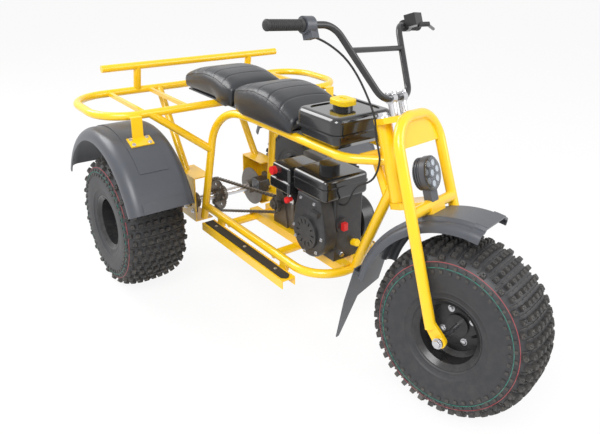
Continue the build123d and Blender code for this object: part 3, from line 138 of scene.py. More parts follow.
def make_sky():
    world = bpy.data.worlds.new("pale_sky")
    world.use_nodes = True
    tree = world.node_tree
    background = tree.nodes["Background"]
    background.inputs["Color"].default_value = (1.0, 1.0, 1.0, 1.0)
    strength = tree.nodes.new("ShaderNodeMapRange")
    strength.inputs["To Min"].default_value = SKY_LIGHT
    strength.inputs["To Max"].default_value = 1.0
    tree.links.new(seen_directly(tree), strength.inputs["Value"])
    tree.links.new(strength.outputs[0], background.inputs["Strength"])
    bpy.context.scene.world = world


def make_floor():
    bm = bmesh.new()
    bmesh.ops.create_grid(bm, x_segments=1, y_segments=1, size=FLOOR_SIZE / 2)
    mesh = bpy.data.meshes.new("floor")
    bm.to_mesh(mesh)
    bm.free()
    floor = bpy.data.objects.new("floor", mesh)
    bpy.context.scene.collection.objects.link(floor)
    material = bpy.data.materials.new("floor_white")
    material.use_nodes = True
    tree = material.node_tree
    tree.nodes.clear()
    diffuse = tree.nodes.new("ShaderNodeBsdfDiffuse")
    diffuse.inputs["Color"].default_value = (0.9, 0.9, 0.9, 1.0)
    glow = tree.nodes.new("ShaderNodeEmission")
    glow.inputs["Color"].default_value = (1.0, 1.0, 1.0, 1.0)
    share = tree.nodes.new("ShaderNodeMath")
    share.operation = "MULTIPLY"
    share.inputs[1].default_value = FLOOR_GLOW
    mix = tree.nodes.new("ShaderNodeMixShader")
    output = tree.nodes.new("ShaderNodeOutputMaterial")
    tree.links.new(seen_directly(tree), share.inputs[0])
    tree.links.new(share.outputs[0], mix.inputs[0])
    tree.links.new(diffuse.outputs[0], mix.inputs[1])
    tree.links.new(glow.outputs[0], mix.inputs[2])
    tree.links.new(mix.outputs[0], output.inputs["Surface"])
    mesh.materials.append(material)


def make_lamp(name, place, aim, size, watts):
    data = bpy.data.lights.new(name, "AREA")
    data.shape = "DISK"
    data.size = size
    data.energy = watts
    lamp = bpy.data.objects.new(name, data)
    lamp.location = place
    lamp.rotation_euler = (Vector(aim) - Vector(place)).to_track_quat("-Z", "Y").to_euler()
    bpy.context.scene.collection.objects.link(lamp)


bpy.context.scene.view_settings.view_transform = "Standard"
make_sky()
make_floor()
for lamp_row in LAMPS:
    make_lamp(*lamp_row)
print("stage with", len(LAMPS), "lamps")

# %% [markdown]
# Real finishes are never one flat colour. Three effects return in many of them, so each is a shader node
# group, built once: a fine grain that roughens and dents the surface, a slow drift of tone, and dust that
# lies low down and thins out higher above the ground.

# %% Shared effects


def new_group(name, inputs, outputs):
    """An empty node group with named sockets: rows of name, socket type and default."""
    group = bpy.data.node_groups.new(name, "ShaderNodeTree")
    for label, kind, value in inputs:
        socket = group.interface.new_socket(label, in_out="INPUT", socket_type=kind)
        socket.default_value = value
    for label, kind in outputs:
        group.interface.new_socket(label, in_out="OUTPUT", socket_type=kind)
    return group, group.nodes.new("NodeGroupInput"), group.nodes.new("NodeGroupOutput")


def grain_group():
    """Fine noise: a height for bump, and a roughness that varies about a middle value."""
    group, inside, out = new_group(
        "surface_grain",
        (
            ("Scale", "NodeSocketFloat", 400.0),
            ("Roughness", "NodeSocketFloat", 0.4),
            ("Spread", "NodeSocketFloat", 0.1),
        ),
        (("Height", "NodeSocketFloat"), ("Roughness", "NodeSocketFloat")),
    )
    tree = group
    place = tree.nodes.new("ShaderNodeTexCoord")
    fine = tree.nodes.new("ShaderNodeTexNoise")
    fine.inputs["Detail"].default_value = 4.0
    tree.links.new(place.outputs["Object"], fine.inputs["Vector"])
    tree.links.new(inside.outputs["Scale"], fine.inputs["Scale"])
    slow = tree.nodes.new("ShaderNodeTexNoise")
    slow.inputs["Scale"].default_value = 9.0
    slow.inputs["Detail"].default_value = 5.0
    tree.links.new(place.outputs["Object"], slow.inputs["Vector"])
    centred = tree.nodes.new("ShaderNodeMath")
    centred.operation = "SUBTRACT"
    centred.inputs[1].default_value = 0.5
    tree.links.new(slow.outputs["Fac"], centred.inputs[0])
    varied = tree.nodes.new("ShaderNodeMath")
    varied.operation = "MULTIPLY_ADD"
    tree.links.new(centred.outputs[0], varied.inputs[0])
    tree.links.new(inside.outputs["Spread"], varied.inputs[1])
    tree.links.new(inside.outputs["Roughness"], varied.inputs[2])
    tree.links.new(fine.outputs["Fac"], out.inputs["Height"])
    tree.links.new(varied.outputs[0], out.inputs["Roughness"])
    return group


def tone_group():
    """A colour that drifts slowly between a darker and a lighter share of itself."""
    group, inside, out = new_group(
        "tone_drift",
        (
            ("Color", "NodeSocketColor", (0.5, 0.5, 0.5, 1.0)),
            ("Scale", "NodeSocketFloat", 6.0),
            ("Amount", "NodeSocketFloat", 0.15),
        ),
        (("Color", "NodeSocketColor"),),
    )
    place = group.nodes.new("ShaderNodeTexCoord")
    noise = group.nodes.new("ShaderNodeTexNoise")
    noise.inputs["Detail"].default_value = 6.0
    noise.inputs["Roughness"].default_value = 0.6
    group.links.new(place.outputs["Object"], noise.inputs["Vector"])
    group.links.new(inside.outputs["Scale"], noise.inputs["Scale"])
    centred = group.nodes.new("ShaderNodeMath")
    centred.operation = "SUBTRACT"
    centred.inputs[1].default_value = 0.5
    group.links.new(noise.outputs["Fac"], centred.inputs[0])
    share = group.nodes.new("ShaderNodeMath")
    share.operation = "MULTIPLY_ADD"
    share.inputs[2].default_value = 1.0
    group.links.new(centred.outputs[0], share.inputs[0])
    group.links.new(inside.outputs["Amount"], share.inputs[1])
    scaled = group.nodes.new("ShaderNodeVectorMath")
    scaled.operation = "SCALE"
    group.links.new(inside.outputs["Color"], scaled.inputs[0])
    group.links.new(share.outputs[0], scaled.inputs["Scale"])
    group.links.new(scaled.outputs[0], out.inputs["Color"])
    return group


def dust_group():
    """Dust over a colour: most low down, and more in the hollows of a slow noise."""
    group, inside, out = new_group(
        "settled_dust",
        (
            ("Color", "NodeSocketColor", (0.05, 0.05, 0.05, 1.0)),
            ("Dust", "NodeSocketColor", (0.30, 0.26, 0.21, 1.0)),
            ("Amount", "NodeSocketFloat", 0.3),
            ("Top", "NodeSocketFloat", 0.6),
        ),
        (("Color", "NodeSocketColor"), ("Mask", "NodeSocketFloat")),
    )
    place = group.nodes.new("ShaderNodeTexCoord")
    height = group.nodes.new("ShaderNodeSeparateXYZ")
    group.links.new(place.outputs["Object"], height.inputs[0])
    fall = group.nodes.new("ShaderNodeMapRange")
    fall.inputs["From Min"].default_value = 0.0
    fall.inputs["To Min"].default_value = 1.0
    fall.inputs["To Max"].default_value = 0.15
    group.links.new(height.outputs["Z"], fall.inputs["Value"])
    group.links.new(inside.outputs["Top"], fall.inputs["From Max"])
    noise = group.nodes.new("ShaderNodeTexNoise")
    noise.inputs["Scale"].default_value = 38.0
    noise.inputs["Detail"].default_value = 8.0
    noise.inputs["Roughness"].default_value = 0.7
    group.links.new(place.outputs["Object"], noise.inputs["Vector"])
    patches = group.nodes.new("ShaderNodeMapRange")
    patches.inputs["From Min"].default_value = 0.42
    patches.inputs["From Max"].default_value = 0.68
    group.links.new(noise.outputs["Fac"], patches.inputs["Value"])
    lower = group.nodes.new("ShaderNodeMath")
    lower.operation = "MULTIPLY"
    group.links.new(fall.outputs[0], lower.inputs[0])
    group.links.new(patches.outputs[0], lower.inputs[1])
    amount = group.nodes.new("ShaderNodeMath")
    amount.operation = "MULTIPLY"
    group.links.new(lower.outputs[0], amount.inputs[0])
    group.links.new(inside.outputs["Amount"], amount.inputs[1])
    mix = group.nodes.new("ShaderNodeMix")
    mix.data_type = "RGBA"
    group.links.new(amount.outputs[0], mix.inputs["Factor"])
    group.links.new(inside.outputs["Color"], mix.inputs[6])
    group.links.new(inside.outputs["Dust"], mix.inputs[7])
    group.links.new(mix.outputs[2], out.inputs["Color"])
    group.links.new(amount.outputs[0], out.inputs["Mask"])
    return group


GRAIN = grain_group()
TONE = tone_group()
DUST = dust_group()
print("node groups", [group.name for group in (GRAIN, TONE, DUST)])

# %% [markdown]
# A finish is then one Principled shader with those groups in front of it. The helper wires them: colour
# through tone and dust, roughness and a bump through grain. What is the same all over a surface, such as
# its metalness or its clear coat, is set on the shader's own socket.

# %% Finishes


def group_node(tree, group, **values):
    node = tree.nodes.new("ShaderNodeGroup")
    node.node_tree = group
    for label, value in values.items():
        node.inputs[label].default_value = value
    return node


def finish(name, color, roughness=0.4, spread=0.1, grain=400.0, bump=0.1, depth=0.0004, tone=0.12,
           tone_scale=6.0, dust=0.0, dust_top=0.6, **sockets):
    """A material from a colour, a roughness, a grain and the shader's constant sockets."""
    material = bpy.data.materials.new(name)
    material.use_nodes = True
    tree = material.node_tree
    shader = tree.nodes["Principled BSDF"]
    drift = group_node(tree, TONE, Color=(*color, 1.0), Scale=tone_scale, Amount=tone)
    settled = group_node(tree, DUST, Amount=dust, Top=dust_top)
    surface = group_node(tree, GRAIN, Scale=grain, Roughness=roughness, Spread=spread)
    dents = tree.nodes.new("ShaderNodeBump")
    dents.inputs["Strength"].default_value = bump
    dents.inputs["Distance"].default_value = depth
    tree.links.new(drift.outputs["Color"], settled.inputs["Color"])
    tree.links.new(settled.outputs["Color"], shader.inputs["Base Color"])
    tree.links.new(surface.outputs["Roughness"], shader.inputs["Roughness"])
    tree.links.new(surface.outputs["Height"], dents.inputs["Height"])
    tree.links.new(dents.outputs["Normal"], shader.inputs["Normal"])
    for label, value in sockets.items():
        shader.inputs[label.replace("_", " ")].default_value = value
    return material


YELLOW = (0.93, 0.56, 0.004)
FINISH = {
    "yellow_paint": finish("yellow_powder_coat", YELLOW, 0.30, 0.10, 260.0, 0.10,
                           0.0005, 0.08, 4.0, 0.10, 0.45,
                           Coat_Weight=0.5, Coat_Roughness=0.12),
    "black_paint": finish("black_enamel", (0.018, 0.018, 0.020), 0.28, 0.12, 300.0, 0.08,
                          0.0004, 0.2, 8.0, 0.10),
    "tyre_rubber": finish("tyre_rubber", (0.026, 0.027, 0.031), 0.52, 0.15, 700.0, 0.2,
                          0.0005, 0.25, 14.0, 0.08),
    "bright_steel": finish("bright_steel", (0.62, 0.62, 0.64), 0.28, 0.2, 900.0, 0.10,
                           0.0003, 0.15, Metallic=1.0),
    "dark_steel": finish("oiled_steel", (0.16, 0.145, 0.13), 0.42, 0.3, 500.0, 0.25, 0.0005, 0.5, 30.0, 0.2,
                         Metallic=0.8),
    # black moulded plastic, its colour lifted to a blue grey: partly its own dark colour, partly a painted sheen
    # of the pale sky
    "black_plastic": finish("plastic_with_painted_sheen", (0.064, 0.069, 0.082), 0.36, 0.10, 900.0, 0.30,
                            0.0004, 0.15, 5.0, 0.08),
    "gloss_black": finish("gloss_black_paint", (0.012, 0.012, 0.013), 0.14, 0.08, 200.0, 0.04, 0.0004, 0.1,
                          Coat_Weight=0.6, Coat_Roughness=0.05),
    "yellow_plastic": finish("yellow_plastic", (0.90, 0.60, 0.006), 0.36, 0.08, 700.0, 0.12, 0.0003, 0.06),
    "seat_vinyl": finish("saddle_vinyl", (0.020, 0.021, 0.025), 0.32, 0.10, 520.0, 0.45, 0.0007, 0.15, 7.0),
    "engine_casting": finish("black_casting", (0.026, 0.026, 0.028), 0.40, 0.2, 420.0, 0.35,
                             0.0008, 0.3, 20.0, 0.15),
    "grip_rubber": finish("grip_rubber", (0.018, 0.018, 0.019), 0.60, 0.15, 800.0, 0.25, 0.0005, 0.2, 10.0),
    "red_plastic": finish("red_plastic", (0.62, 0.02, 0.02), 0.3, 0.08, 500.0, 0.08, 0.0003, 0.08),
    "lens_glass": finish("lamp_lens", (0.80, 0.84, 0.90), 0.08, 0.05, 300.0, 0.03, 0.0003, 0.05),
}


def paint(piece, material):
    """One material on every face of a piece."""
    piece.data.materials.clear()
    piece.data.materials.append(material)


slot_of = {row["node"]: row["material_slot"] for row in frame["record"]["subparts"]}
for node_name, node in nodes.items():
    paint(node, FINISH[slot_of[node_name]])
print("painted", len(nodes), "nodes")

# %% [markdown]
# Every new piece goes the same way: a bmesh is shaped with operators, becomes a mesh whose place is in its
# own points, takes a finish, rides on a body of the frame and, where it stands for a plain solid, replaces
# that node. Edges sharper than a given angle stay crisp and the rest is shaded smooth.

# %% From a bmesh to a piece


def make_piece(bm, name, finish_name, body, replaced=(), crisp=35.0):
    """Close a bmesh into a finished object that rides on a body."""
    bmesh.ops.remove_doubles(bm, verts=bm.verts, dist=1e-6)
    bmesh.ops.recalc_face_normals(bm, faces=bm.faces)
    mesh = bpy.data.meshes.new(name)
    bm.to_mesh(mesh)
    bm.free()
    for polygon in mesh.polygons:
        polygon.use_smooth = True
    mesh.set_sharp_from_angle(angle=math.radians(crisp))
    piece = bpy.data.objects.new(name, mesh)
    bpy.context.scene.collection.objects.link(piece)
    mesh.materials.append(FINISH[finish_name])
    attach(piece, body)
    if replaced:
        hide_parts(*replaced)
    return piece


def frame_of(place, ahead, side=(0.0, 1.0, 0.0)):
    """A matrix whose Z points ahead and whose Y keeps to one side."""
    z = Vector(ahead).normalized()
    x = Vector(side).cross(z)
    x = x.normalized() if x.length > 1e-6 else Vector((1.0, 0.0, 0.0))
    y = z.cross(x)
    return Matrix.Translation(Vector(place)) @ Matrix((x, y, z)).transposed().to_4x4()


def spun(profile, steps, closed=True):
    """A ring: a profile of radius and place across, spun once round the Y axis."""
    bm = bmesh.new()
    verts = [bm.verts.new((radius, across, 0.0)) for radius, across in profile]
    edges = [bm.edges.new(pair) for pair in zip(verts, verts[1:])]
    if closed:
        edges.append(bm.edges.new((verts[-1], verts[0])))
    bmesh.ops.spin(bm, geom=verts + edges, cent=(0, 0, 0), axis=(0, 1, 0), angle=2 * math.pi, steps=steps,
                   use_merge=True)
    bmesh.ops.remove_doubles(bm, verts=bm.verts, dist=1e-6)
    bmesh.ops.recalc_face_normals(bm, faces=bm.faces)
    return bm


def add_copies(bm, part, places):
    """Put a copy of a small bmesh into another one at each matrix, and free the small one."""
    mesh = bpy.data.meshes.new("part")
    part.to_mesh(mesh)
    part.free()
    for matrix in places:
        before = len(bm.verts)
        bm.from_mesh(mesh)
        bm.verts.ensure_lookup_table()
        bmesh.ops.transform(bm, matrix=matrix, verts=bm.verts[before:])
    bpy.data.meshes.remove(mesh)


# %% [markdown]
# A balloon tyre is a soft ring with square knobs in rows across it. The ring is a spun profile: a round-
# shouldered tread, a bulging side with two thin ribs, and a bead that sits in the rim. Spinning few points
# and letting a subdivision surface round them keeps the mesh light. The knobs are one small block, cut
# across its top by a cross, and copied row by row with every second row moved by half a step, so that the
# pattern interlocks. Low ribs join the rows, and flat pads run round the shoulder.

# %% Tyre sizes
CROWN_R = 0.2685          # the tread between the knobs
SIDE_R = 0.188            # where the side bulges most
TYRE_HALF = 0.1255
KNOB_TOP = 0.0105         # how far the knobs stand up
KNOB_SIZE = 0.0175
KNOB_ROWS = 46
KNOB_STEP = 0.0285        # from knob to knob across the tread
KNOB_REACH = 0.120        # the outermost knob, along the tread from its middle
PAD_RINGS = (0.138, 0.156)   # flat pads on the shoulder, along the tread from its middle
PAD_SIZE = (0.0130, 0.0026)
RIB_SIZE = (0.0042, 0.0018)
STRIPES = (
    # colour, along the tread from its middle
    ("red", 0.1265),
    ("green", 0.1440),
)
SIDE_PROFILE = (
    # radius, place across: from the bulge down to the bead and back inside
    (0.1600, 0.1235), (0.1450, 0.1200), (0.1435, 0.1215), (0.1400, 0.1205), (0.1385, 0.1180),
    (0.1240, 0.1130), (0.1225, 0.1150), (0.1190, 0.1145), (0.1175, 0.1110), (0.1060, 0.1050),
    (0.1015, 0.0990),
    (0.1015, 0.0860), (0.1300, 0.0980), (0.1900, 0.1120), (0.2450, 0.0850),
)
TREAD_POINTS = 9


def tread_point(turn):
    """A point of the tread's outline; turn is 0 at the bulge and a right angle at the crown."""
    across = TYRE_HALF * max(math.cos(turn), 0.0) ** (2 / 3)
    return SIDE_R + (CROWN_R - SIDE_R) * math.sin(turn) ** (2 / 3), across


def tread_place(distance):
    """Radius, place across and slope of the tread at a distance from its middle, walked along the outline."""
    walked = 0.0
    last = (CROWN_R, 0.0)
    for count in range(1, 401):
        here = tread_point(math.pi / 2 * (1 - count / 400))
        walked += math.hypot(here[0] - last[0], here[1] - last[1])
        if walked >= abs(distance):
            lean = math.atan2(last[0] - here[0], here[1] - last[1])
            return here[0], math.copysign(here[1], distance), math.copysign(lean, distance)
        last = here
    raise ValueError("the tread is shorter than that")


def tyre_ring():
    """The tyre's outline, from bead to bead, spun and ready to be rounded."""
    tread = [tread_point(math.pi / 2 * count / TREAD_POINTS) for count in range(TREAD_POINTS + 1)]
    half = list(reversed(SIDE_PROFILE[:11])) + tread
    outside = half + [(radius, -across) for radius, across in reversed(half[:-1])]
    inside = [(radius, -across) for radius, across in SIDE_PROFILE[11:]]
    inside += [(radius, across) for radius, across in reversed(SIDE_PROFILE[11:])]
    return spun(outside + inside, 64)


def knob(size, top, taper=0.86, cross=True):
    """A block that stands on the tread, with a cross cut in its top."""
    bm = bmesh.new()
    bmesh.ops.create_cube(bm, size=1.0)
    bmesh.ops.scale(bm, vec=(size, size, top + 0.006), verts=bm.verts)
    bmesh.ops.translate(bm, vec=(0, 0, (top - 0.006) / 2), verts=bm.verts)
    upper = [face for face in bm.faces if face.normal.z > 0.5]
    bmesh.ops.scale(bm, vec=(taper, taper, 1), verts=upper[0].verts)
    bottom = [face for face in bm.faces if face.normal.z < -0.5]
    bmesh.ops.delete(bm, geom=bottom, context="FACES_ONLY")
    if cross:
        quarters = bmesh.ops.poke(bm, faces=upper)["faces"]
        bmesh.ops.inset_individual(bm, faces=quarters, thickness=size * 0.075, depth=0.0016)
    return bm


print("tread from its middle to the bulge:", [round(v, 3) for v in tread_place(KNOB_REACH)])

# %% Tyre rows


def on_tread(angle, distance, spin=0.0):
    """A matrix that stands a knob on the tread of an upright tyre about the Y axis."""
    radius, across, lean = tread_place(distance)
    return (
        Matrix.Rotation(-angle, 4, "Y")
        @ Matrix.Translation((radius, across, 0.0))
        @ Matrix.Rotation(lean, 4, "Z")
        @ Matrix.Rotation(math.pi / 2, 4, "Y")
        @ Matrix.Rotation(spin, 4, "Z")
    )


def tread_block():
    """All knobs, ribs and shoulder pads of one tyre: two rows, then their copies spun round the axle."""
    bm = bmesh.new()
    knob_places = []
    rib_places = []
    pad_places = []
    step = 2 * math.pi / KNOB_ROWS
    count = int(KNOB_REACH / KNOB_STEP)
    for row in range(2):
        shift = 0.5 if row else 0.0
        for number in range(-count - 1, count + 1):
            distance = (number + 0.5 + shift) * KNOB_STEP
            if abs(distance) < KNOB_REACH:
                knob_places.append(on_tread(row * step, distance))
                rib_places.append(on_tread((row + 0.5) * step, distance * 0.94))
        for side in (-1, 1):
            pad_places.append(on_tread((row + 0.5) * step, side * PAD_RINGS[0]))
            pad_places.append(on_tread(row * step, side * PAD_RINGS[1]))
    add_copies(bm, knob(KNOB_SIZE, KNOB_TOP), knob_places)
    rib = knob(RIB_SIZE[0], RIB_SIZE[1], 0.7, False)
    bmesh.ops.scale(rib, vec=(1, KNOB_STEP / RIB_SIZE[0] * 1.02, 1), verts=rib.verts)
    add_copies(bm, rib, rib_places)
    add_copies(bm, knob(PAD_SIZE[0], PAD_SIZE[1], 0.8, False), pad_places)
    pairs = KNOB_ROWS // 2
    whole = bm.verts[:] + bm.edges[:] + bm.faces[:]
    bmesh.ops.spin(bm, geom=whole, cent=(0, 0, 0), axis=(0, 1, 0), angle=2 * step * (pairs - 1),
                   steps=pairs - 1, use_duplicate=True)
    return bm


def stripe_ring(distance, width=0.0024, lift=0.0004):
    """A thin painted ring on one side of the tyre."""
    radius, across, lean = tread_place(distance)
    side = math.copysign(1.0, distance)
    along = (-math.sin(abs(lean)), side * math.cos(lean))
    out = (math.cos(lean), side * math.sin(abs(lean)))
    corners = []
    for share, rise in ((-0.5, -0.001), (-0.5, lift), (0.5, lift), (0.5, -0.001)):
        corners.append((radius + along[0] * share * width + out[0] * rise,
                        across + along[1] * share * width + out[1] * rise))
    return spun(corners, 128)


def wheel_matrix(joint_name, node):
    """Where a wheel stands: its centre and the axle that it turns on."""
    low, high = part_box(node)
    axis = Vector(joints[joint_name]["axis"]).normalized()
    centre = (low + high) / 2
    if joint_name == "front_wheel_spin":
        centre = Vector(joints[joint_name]["pos_m"])
    x = Vector((1, 0, 0)) - axis * axis.x
    x.normalize()
    return Matrix.Translation(centre) @ Matrix((x, axis, x.cross(axis))).transposed().to_4x4()


WHEELS = (
    # wheel, joint, body, which side its face is on
    ("front", "front_wheel_spin", "front_wheel", 0),
    ("rear_right", "rear_axle_spin", "rear_axle", -1),
    ("rear_left", "rear_axle_spin", "rear_axle", 1),
)
TYRE_NODE = {"front": "front_tyre", "rear_right": "rear_tyre_right", "rear_left": "rear_tyre_left"}
FINISH["knob_rubber"] = finish("knob_rubber", (0.034, 0.033, 0.033), 0.56, 0.2, 600.0, 0.3,
                               0.0006, 0.4, 20.0, 0.25, 0.9)
FINISH["stripe_red"] = finish("stripe_red", (0.28, 0.05, 0.06), 0.6, 0.1, 500.0, 0.2,
                              0.0004, 0.3, 30.0, 0.4)
FINISH["stripe_green"] = finish("stripe_green", (0.015, 0.16, 0.12), 0.6, 0.1, 500.0, 0.2,
                                0.0004, 0.3, 30.0, 0.4)
tread_mesh = bpy.data.meshes.new("tread")
one_tread = tread_block()
one_tread.to_mesh(tread_mesh)
one_tread.free()
for wheel, joint_name, body, face_side in WHEELS:
    matrix = wheel_matrix(joint_name, TYRE_NODE[wheel])
    ring = tyre_ring()
    bmesh.ops.transform(ring, matrix=matrix, verts=ring.verts)
    tyre = make_piece(ring, wheel + "_tyre_ring", "tyre_rubber", body,
                      (TYRE_NODE[wheel],), 60.0)
    rounding = tyre.modifiers.new("rounding", "SUBSURF")
    rounding.levels = rounding.render_levels = 1
    tread = bmesh.new()
    tread.from_mesh(tread_mesh)
    bmesh.ops.transform(tread, matrix=matrix, verts=tread.verts)
    knobs = make_piece(tread, wheel + "_tyre_knobs", "knob_rubber", body, (), 30.0)
    for colour, distance in STRIPES:
        rings = stripe_ring(distance)
        other = stripe_ring(-distance)
        add_copies(rings, other, [Matrix.Identity(4)])
        bmesh.ops.transform(rings, matrix=matrix, verts=rings.verts)
        make_piece(rings, f"{wheel}_tyre_{colour}_stripe", "stripe_" + colour, body)
    print(wheel, "tyre", len(tyre.data.polygons), "faces, tread", len(knobs.data.polygons))
bpy.data.meshes.remove(tread_mesh)

# %% [markdown]
# Each wheel's dished disc is held by four bright bolts, and a short valve stands in the well of the rim.
# A bolt is a six-sided cone frustum on a round washer, with its top edge broken by a bevel, so that it
# catches light as a real hexagon does. The same bolt serves everywhere on the vehicle, scaled to size.

# %% Bolts and wheel bolts


def hex_bolt(across_flats, height):
    """A hexagon head on a washer, standing on the XY plane."""
    bm = bmesh.new()
    bmesh.ops.create_cone(bm, cap_ends=True, segments=24, radius1=across_flats * 0.78,
                          radius2=across_flats * 0.76, depth=height * 0.3)
    bmesh.ops.translate(bm, vec=(0, 0, height * 0.15), verts=bm.verts)
    head = bmesh.new()
    made = bmesh.ops.create_cone(head, cap_ends=True, segments=6, radius1=across_flats * 0.577,
                                 radius2=across_flats * 0.577, depth=height * 0.8)
    bmesh.ops.translate(head, vec=(0, 0, height * 0.6), verts=made["verts"])
    top = [edge for edge in head.edges if all(vert.co.z > height * 0.9 for vert in edge.verts)]
    bmesh.ops.bevel(head, geom=top, offset=across_flats * 0.08, segments=2, profile=0.5,
                    affect="EDGES", material=-1)
    add_copies(bm, head, [Matrix.Identity(4)])
    return bm


def bolts_piece(name, rows, body, finish_name="bright_steel"):
    """One piece of many bolts: rows of place, direction, width across flats and height."""
    bm = bmesh.new()
    for place, ahead, width, height in rows:
        add_copies(bm, hex_bolt(width, height), [frame_of(place, ahead)])
    return make_piece(bm, name, finish_name, body)


BOLT_RING = 0.056
DISC_FACE = 0.025         # from the wheel's middle to the face of its disc
BOLT_START = 0.35         # the first bolt, as a share of a quarter turn
WHEEL_BOLT = (0.0150, 0.0090)


def wheel_bolts(matrix, side):
    """Rows for the four bolts on a wheel's disc."""
    rows = []
    for number in range(4):
        angle = math.pi / 2 * (number + BOLT_START)
        place = Vector((BOLT_RING * math.cos(angle), side * DISC_FACE, BOLT_RING * math.sin(angle)))
        rows.append((matrix @ place, matrix.to_3x3() @ Vector((0, side, 0)), *WHEEL_BOLT))
    return rows


def valve(matrix, side):
    """A rubber valve with a cap, standing out of the rim's well."""
    bm = bmesh.new()
    for radius, length, start in ((0.0058, 0.022, 0.0), (0.0042, 0.012, 0.022)):
        made = bmesh.ops.create_cone(bm, cap_ends=True, segments=16, radius1=radius,
                                     radius2=radius * 0.8, depth=length)
        bmesh.ops.translate(bm, vec=(0, 0, start + length / 2), verts=made["verts"])
    place = matrix @ Vector((0.079, side * 0.034, 0.0))
    ahead = matrix.to_3x3() @ Vector((-0.55, side, 0))
    bmesh.ops.transform(bm, matrix=frame_of(place, ahead), verts=bm.verts)
    return bm


for wheel, joint_name, body, face_side in WHEELS:
    matrix = wheel_matrix(joint_name, TYRE_NODE[wheel])
    side = face_side or -1
    bolts_piece(wheel + "_wheel_bolts", wheel_bolts(matrix, side), body)
    make_piece(valve(matrix, side), wheel + "_valve", "grip_rubber", body)
print("four bolts and a valve on", len(WHEELS), "wheels")

# %% [markdown]
# The saddle is foam under stitched vinyl, in two humps. Cloth simulation gives the swell of foam that is
# pressed against its cover: a copy of the plain pad, made a little smaller, is remeshed evenly, blown up for
# a few frames and held back by a cap, so that it fills the space of the solid. The sewn channels come
# afterwards, because the even mesh would swallow them: the top sinks along bowed lines across the pad, and
# a seam runs along each shoulder.

# %% Saddle
SADDLE_SHRINK = 0.006
SADDLE_CAP = 0.009
SADDLE_VOXEL = 0.010
SWELL_FRAMES = 8
CHANNEL_DEPTH = 0.0017
CHANNEL_WIDTH = 0.0042
CHANNEL_BOW = 0.030
SADDLES = (
    # node, piece, channels: share of the pad's length from its rear
    ("seat_rear", "saddle_rear", (0.22, 0.40, 0.58, 0.76)),
    ("seat_front", "saddle_front", (0.20, 0.38, 0.56, 0.74)),
)


def evaluated_mesh(piece):
    """A piece's mesh with its modifiers worked in."""
    graph = bpy.context.evaluated_depsgraph_get()
    return bpy.data.meshes.new_from_object(piece.evaluated_get(graph))


def swap_mesh(piece, mesh):
    """Give a piece a new mesh, drop its modifiers and the old mesh."""
    old = piece.data
    piece.modifiers.clear()
    piece.data = mesh
    bpy.data.meshes.remove(old)


def smaller_copy(node, name):
    """A merged copy of a node's mesh, drawn in by a few millimetres."""
    bm = bmesh.new()
    bm.from_mesh(nodes[node].data)
    bmesh.ops.remove_doubles(bm, verts=bm.verts, dist=1e-5)
    bmesh.ops.recalc_face_normals(bm, faces=bm.faces)
    low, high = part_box(node)
    middle = (low + high) / 2
    size = high - low
    shares = [1 - 2 * SADDLE_SHRINK / length for length in size]
    bmesh.ops.translate(bm, vec=-middle, verts=bm.verts)
    bmesh.ops.scale(bm, vec=shares, verts=bm.verts)
    bmesh.ops.translate(bm, vec=middle, verts=bm.verts)
    mesh = bpy.data.meshes.new(name)
    bm.to_mesh(mesh)
    bm.free()
    piece = bpy.data.objects.new(name, mesh)
    bpy.context.scene.collection.objects.link(piece)
    return piece


def swell(piece):
    """Blow the pad up against its cover, no point moving further than the cap."""
    start = [vert.co.copy() for vert in piece.data.vertices]
    cloth = piece.modifiers.new("foam", "CLOTH")
    cloth.settings.quality = 4
    cloth.settings.use_pressure = True
    cloth.settings.uniform_pressure_force = 4.0
    cloth.settings.tension_stiffness = 30.0
    cloth.settings.compression_stiffness = 30.0
    cloth.settings.effector_weights.gravity = 0.0
    scene = bpy.context.scene
    for number in range(1, SWELL_FRAMES + 1):
        scene.frame_set(number)
    swap_mesh(piece, evaluated_mesh(piece))
    scene.frame_set(1)
    for vert, before in zip(piece.data.vertices, start):
        moved = vert.co - before
        if moved.length > SADDLE_CAP:
            vert.co = before + moved.normalized() * SADDLE_CAP


def sew_channels(piece, node, shares):
    """Sink the top along bowed lines across the pad, and keep its underside on the base."""
    low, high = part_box(node)
    half = (high.y - low.y) / 2
    floor = low.z + 0.001
    upward_shares = [max(vert.normal.z, 0.0) for vert in piece.data.vertices]
    for vert, upward in zip(piece.data.vertices, upward_shares):
        co = vert.co
        across = co.y / half
        for share in shares:
            line = low.x + share * (high.x - low.x) + CHANNEL_BOW * across * across
            depth = CHANNEL_DEPTH * math.exp(-((co.x - line) / CHANNEL_WIDTH) ** 2) * min(upward * 1.6, 1.0)
            co.z -= depth
        co.z = max(co.z, floor)
        co.x = min(max(co.x, low.x + 0.0006), high.x - 0.0006)


for node, name, shares in SADDLES:
    pad = smaller_copy(node, name)
    remesh = pad.modifiers.new("even", "REMESH")
    remesh.mode = "VOXEL"
    remesh.voxel_size = SADDLE_VOXEL
    swap_mesh(pad, evaluated_mesh(pad))
    swell(pad)
    relax = pad.modifiers.new("relax", "CORRECTIVE_SMOOTH")
    relax.iterations = 8
    relax.use_only_smooth = True
    rounding = pad.modifiers.new("rounding", "SUBSURF")
    rounding.levels = rounding.render_levels = 2
    swap_mesh(pad, evaluated_mesh(pad))
    sew_channels(pad, node, shares)
    for polygon in pad.data.polygons:
        polygon.use_smooth = True
    paint(pad, FINISH["seat_vinyl"])
    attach(pad, "frame")
    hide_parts(node)
    print(name, len(pad.data.polygons), "faces")

# %% [markdown]
# Along each shoulder of the saddle the top cover is sewn to the side with a welt, a thin cord under vinyl.
# Its line is found on the pad itself: points look straight down at the foam, a little in from the edge.
# A curve with a round bevel follows them and becomes a mesh.

# %% Saddle welts
WELT_R = 0.0021
WELT_IN = 0.011
WELT_POINTS = 26


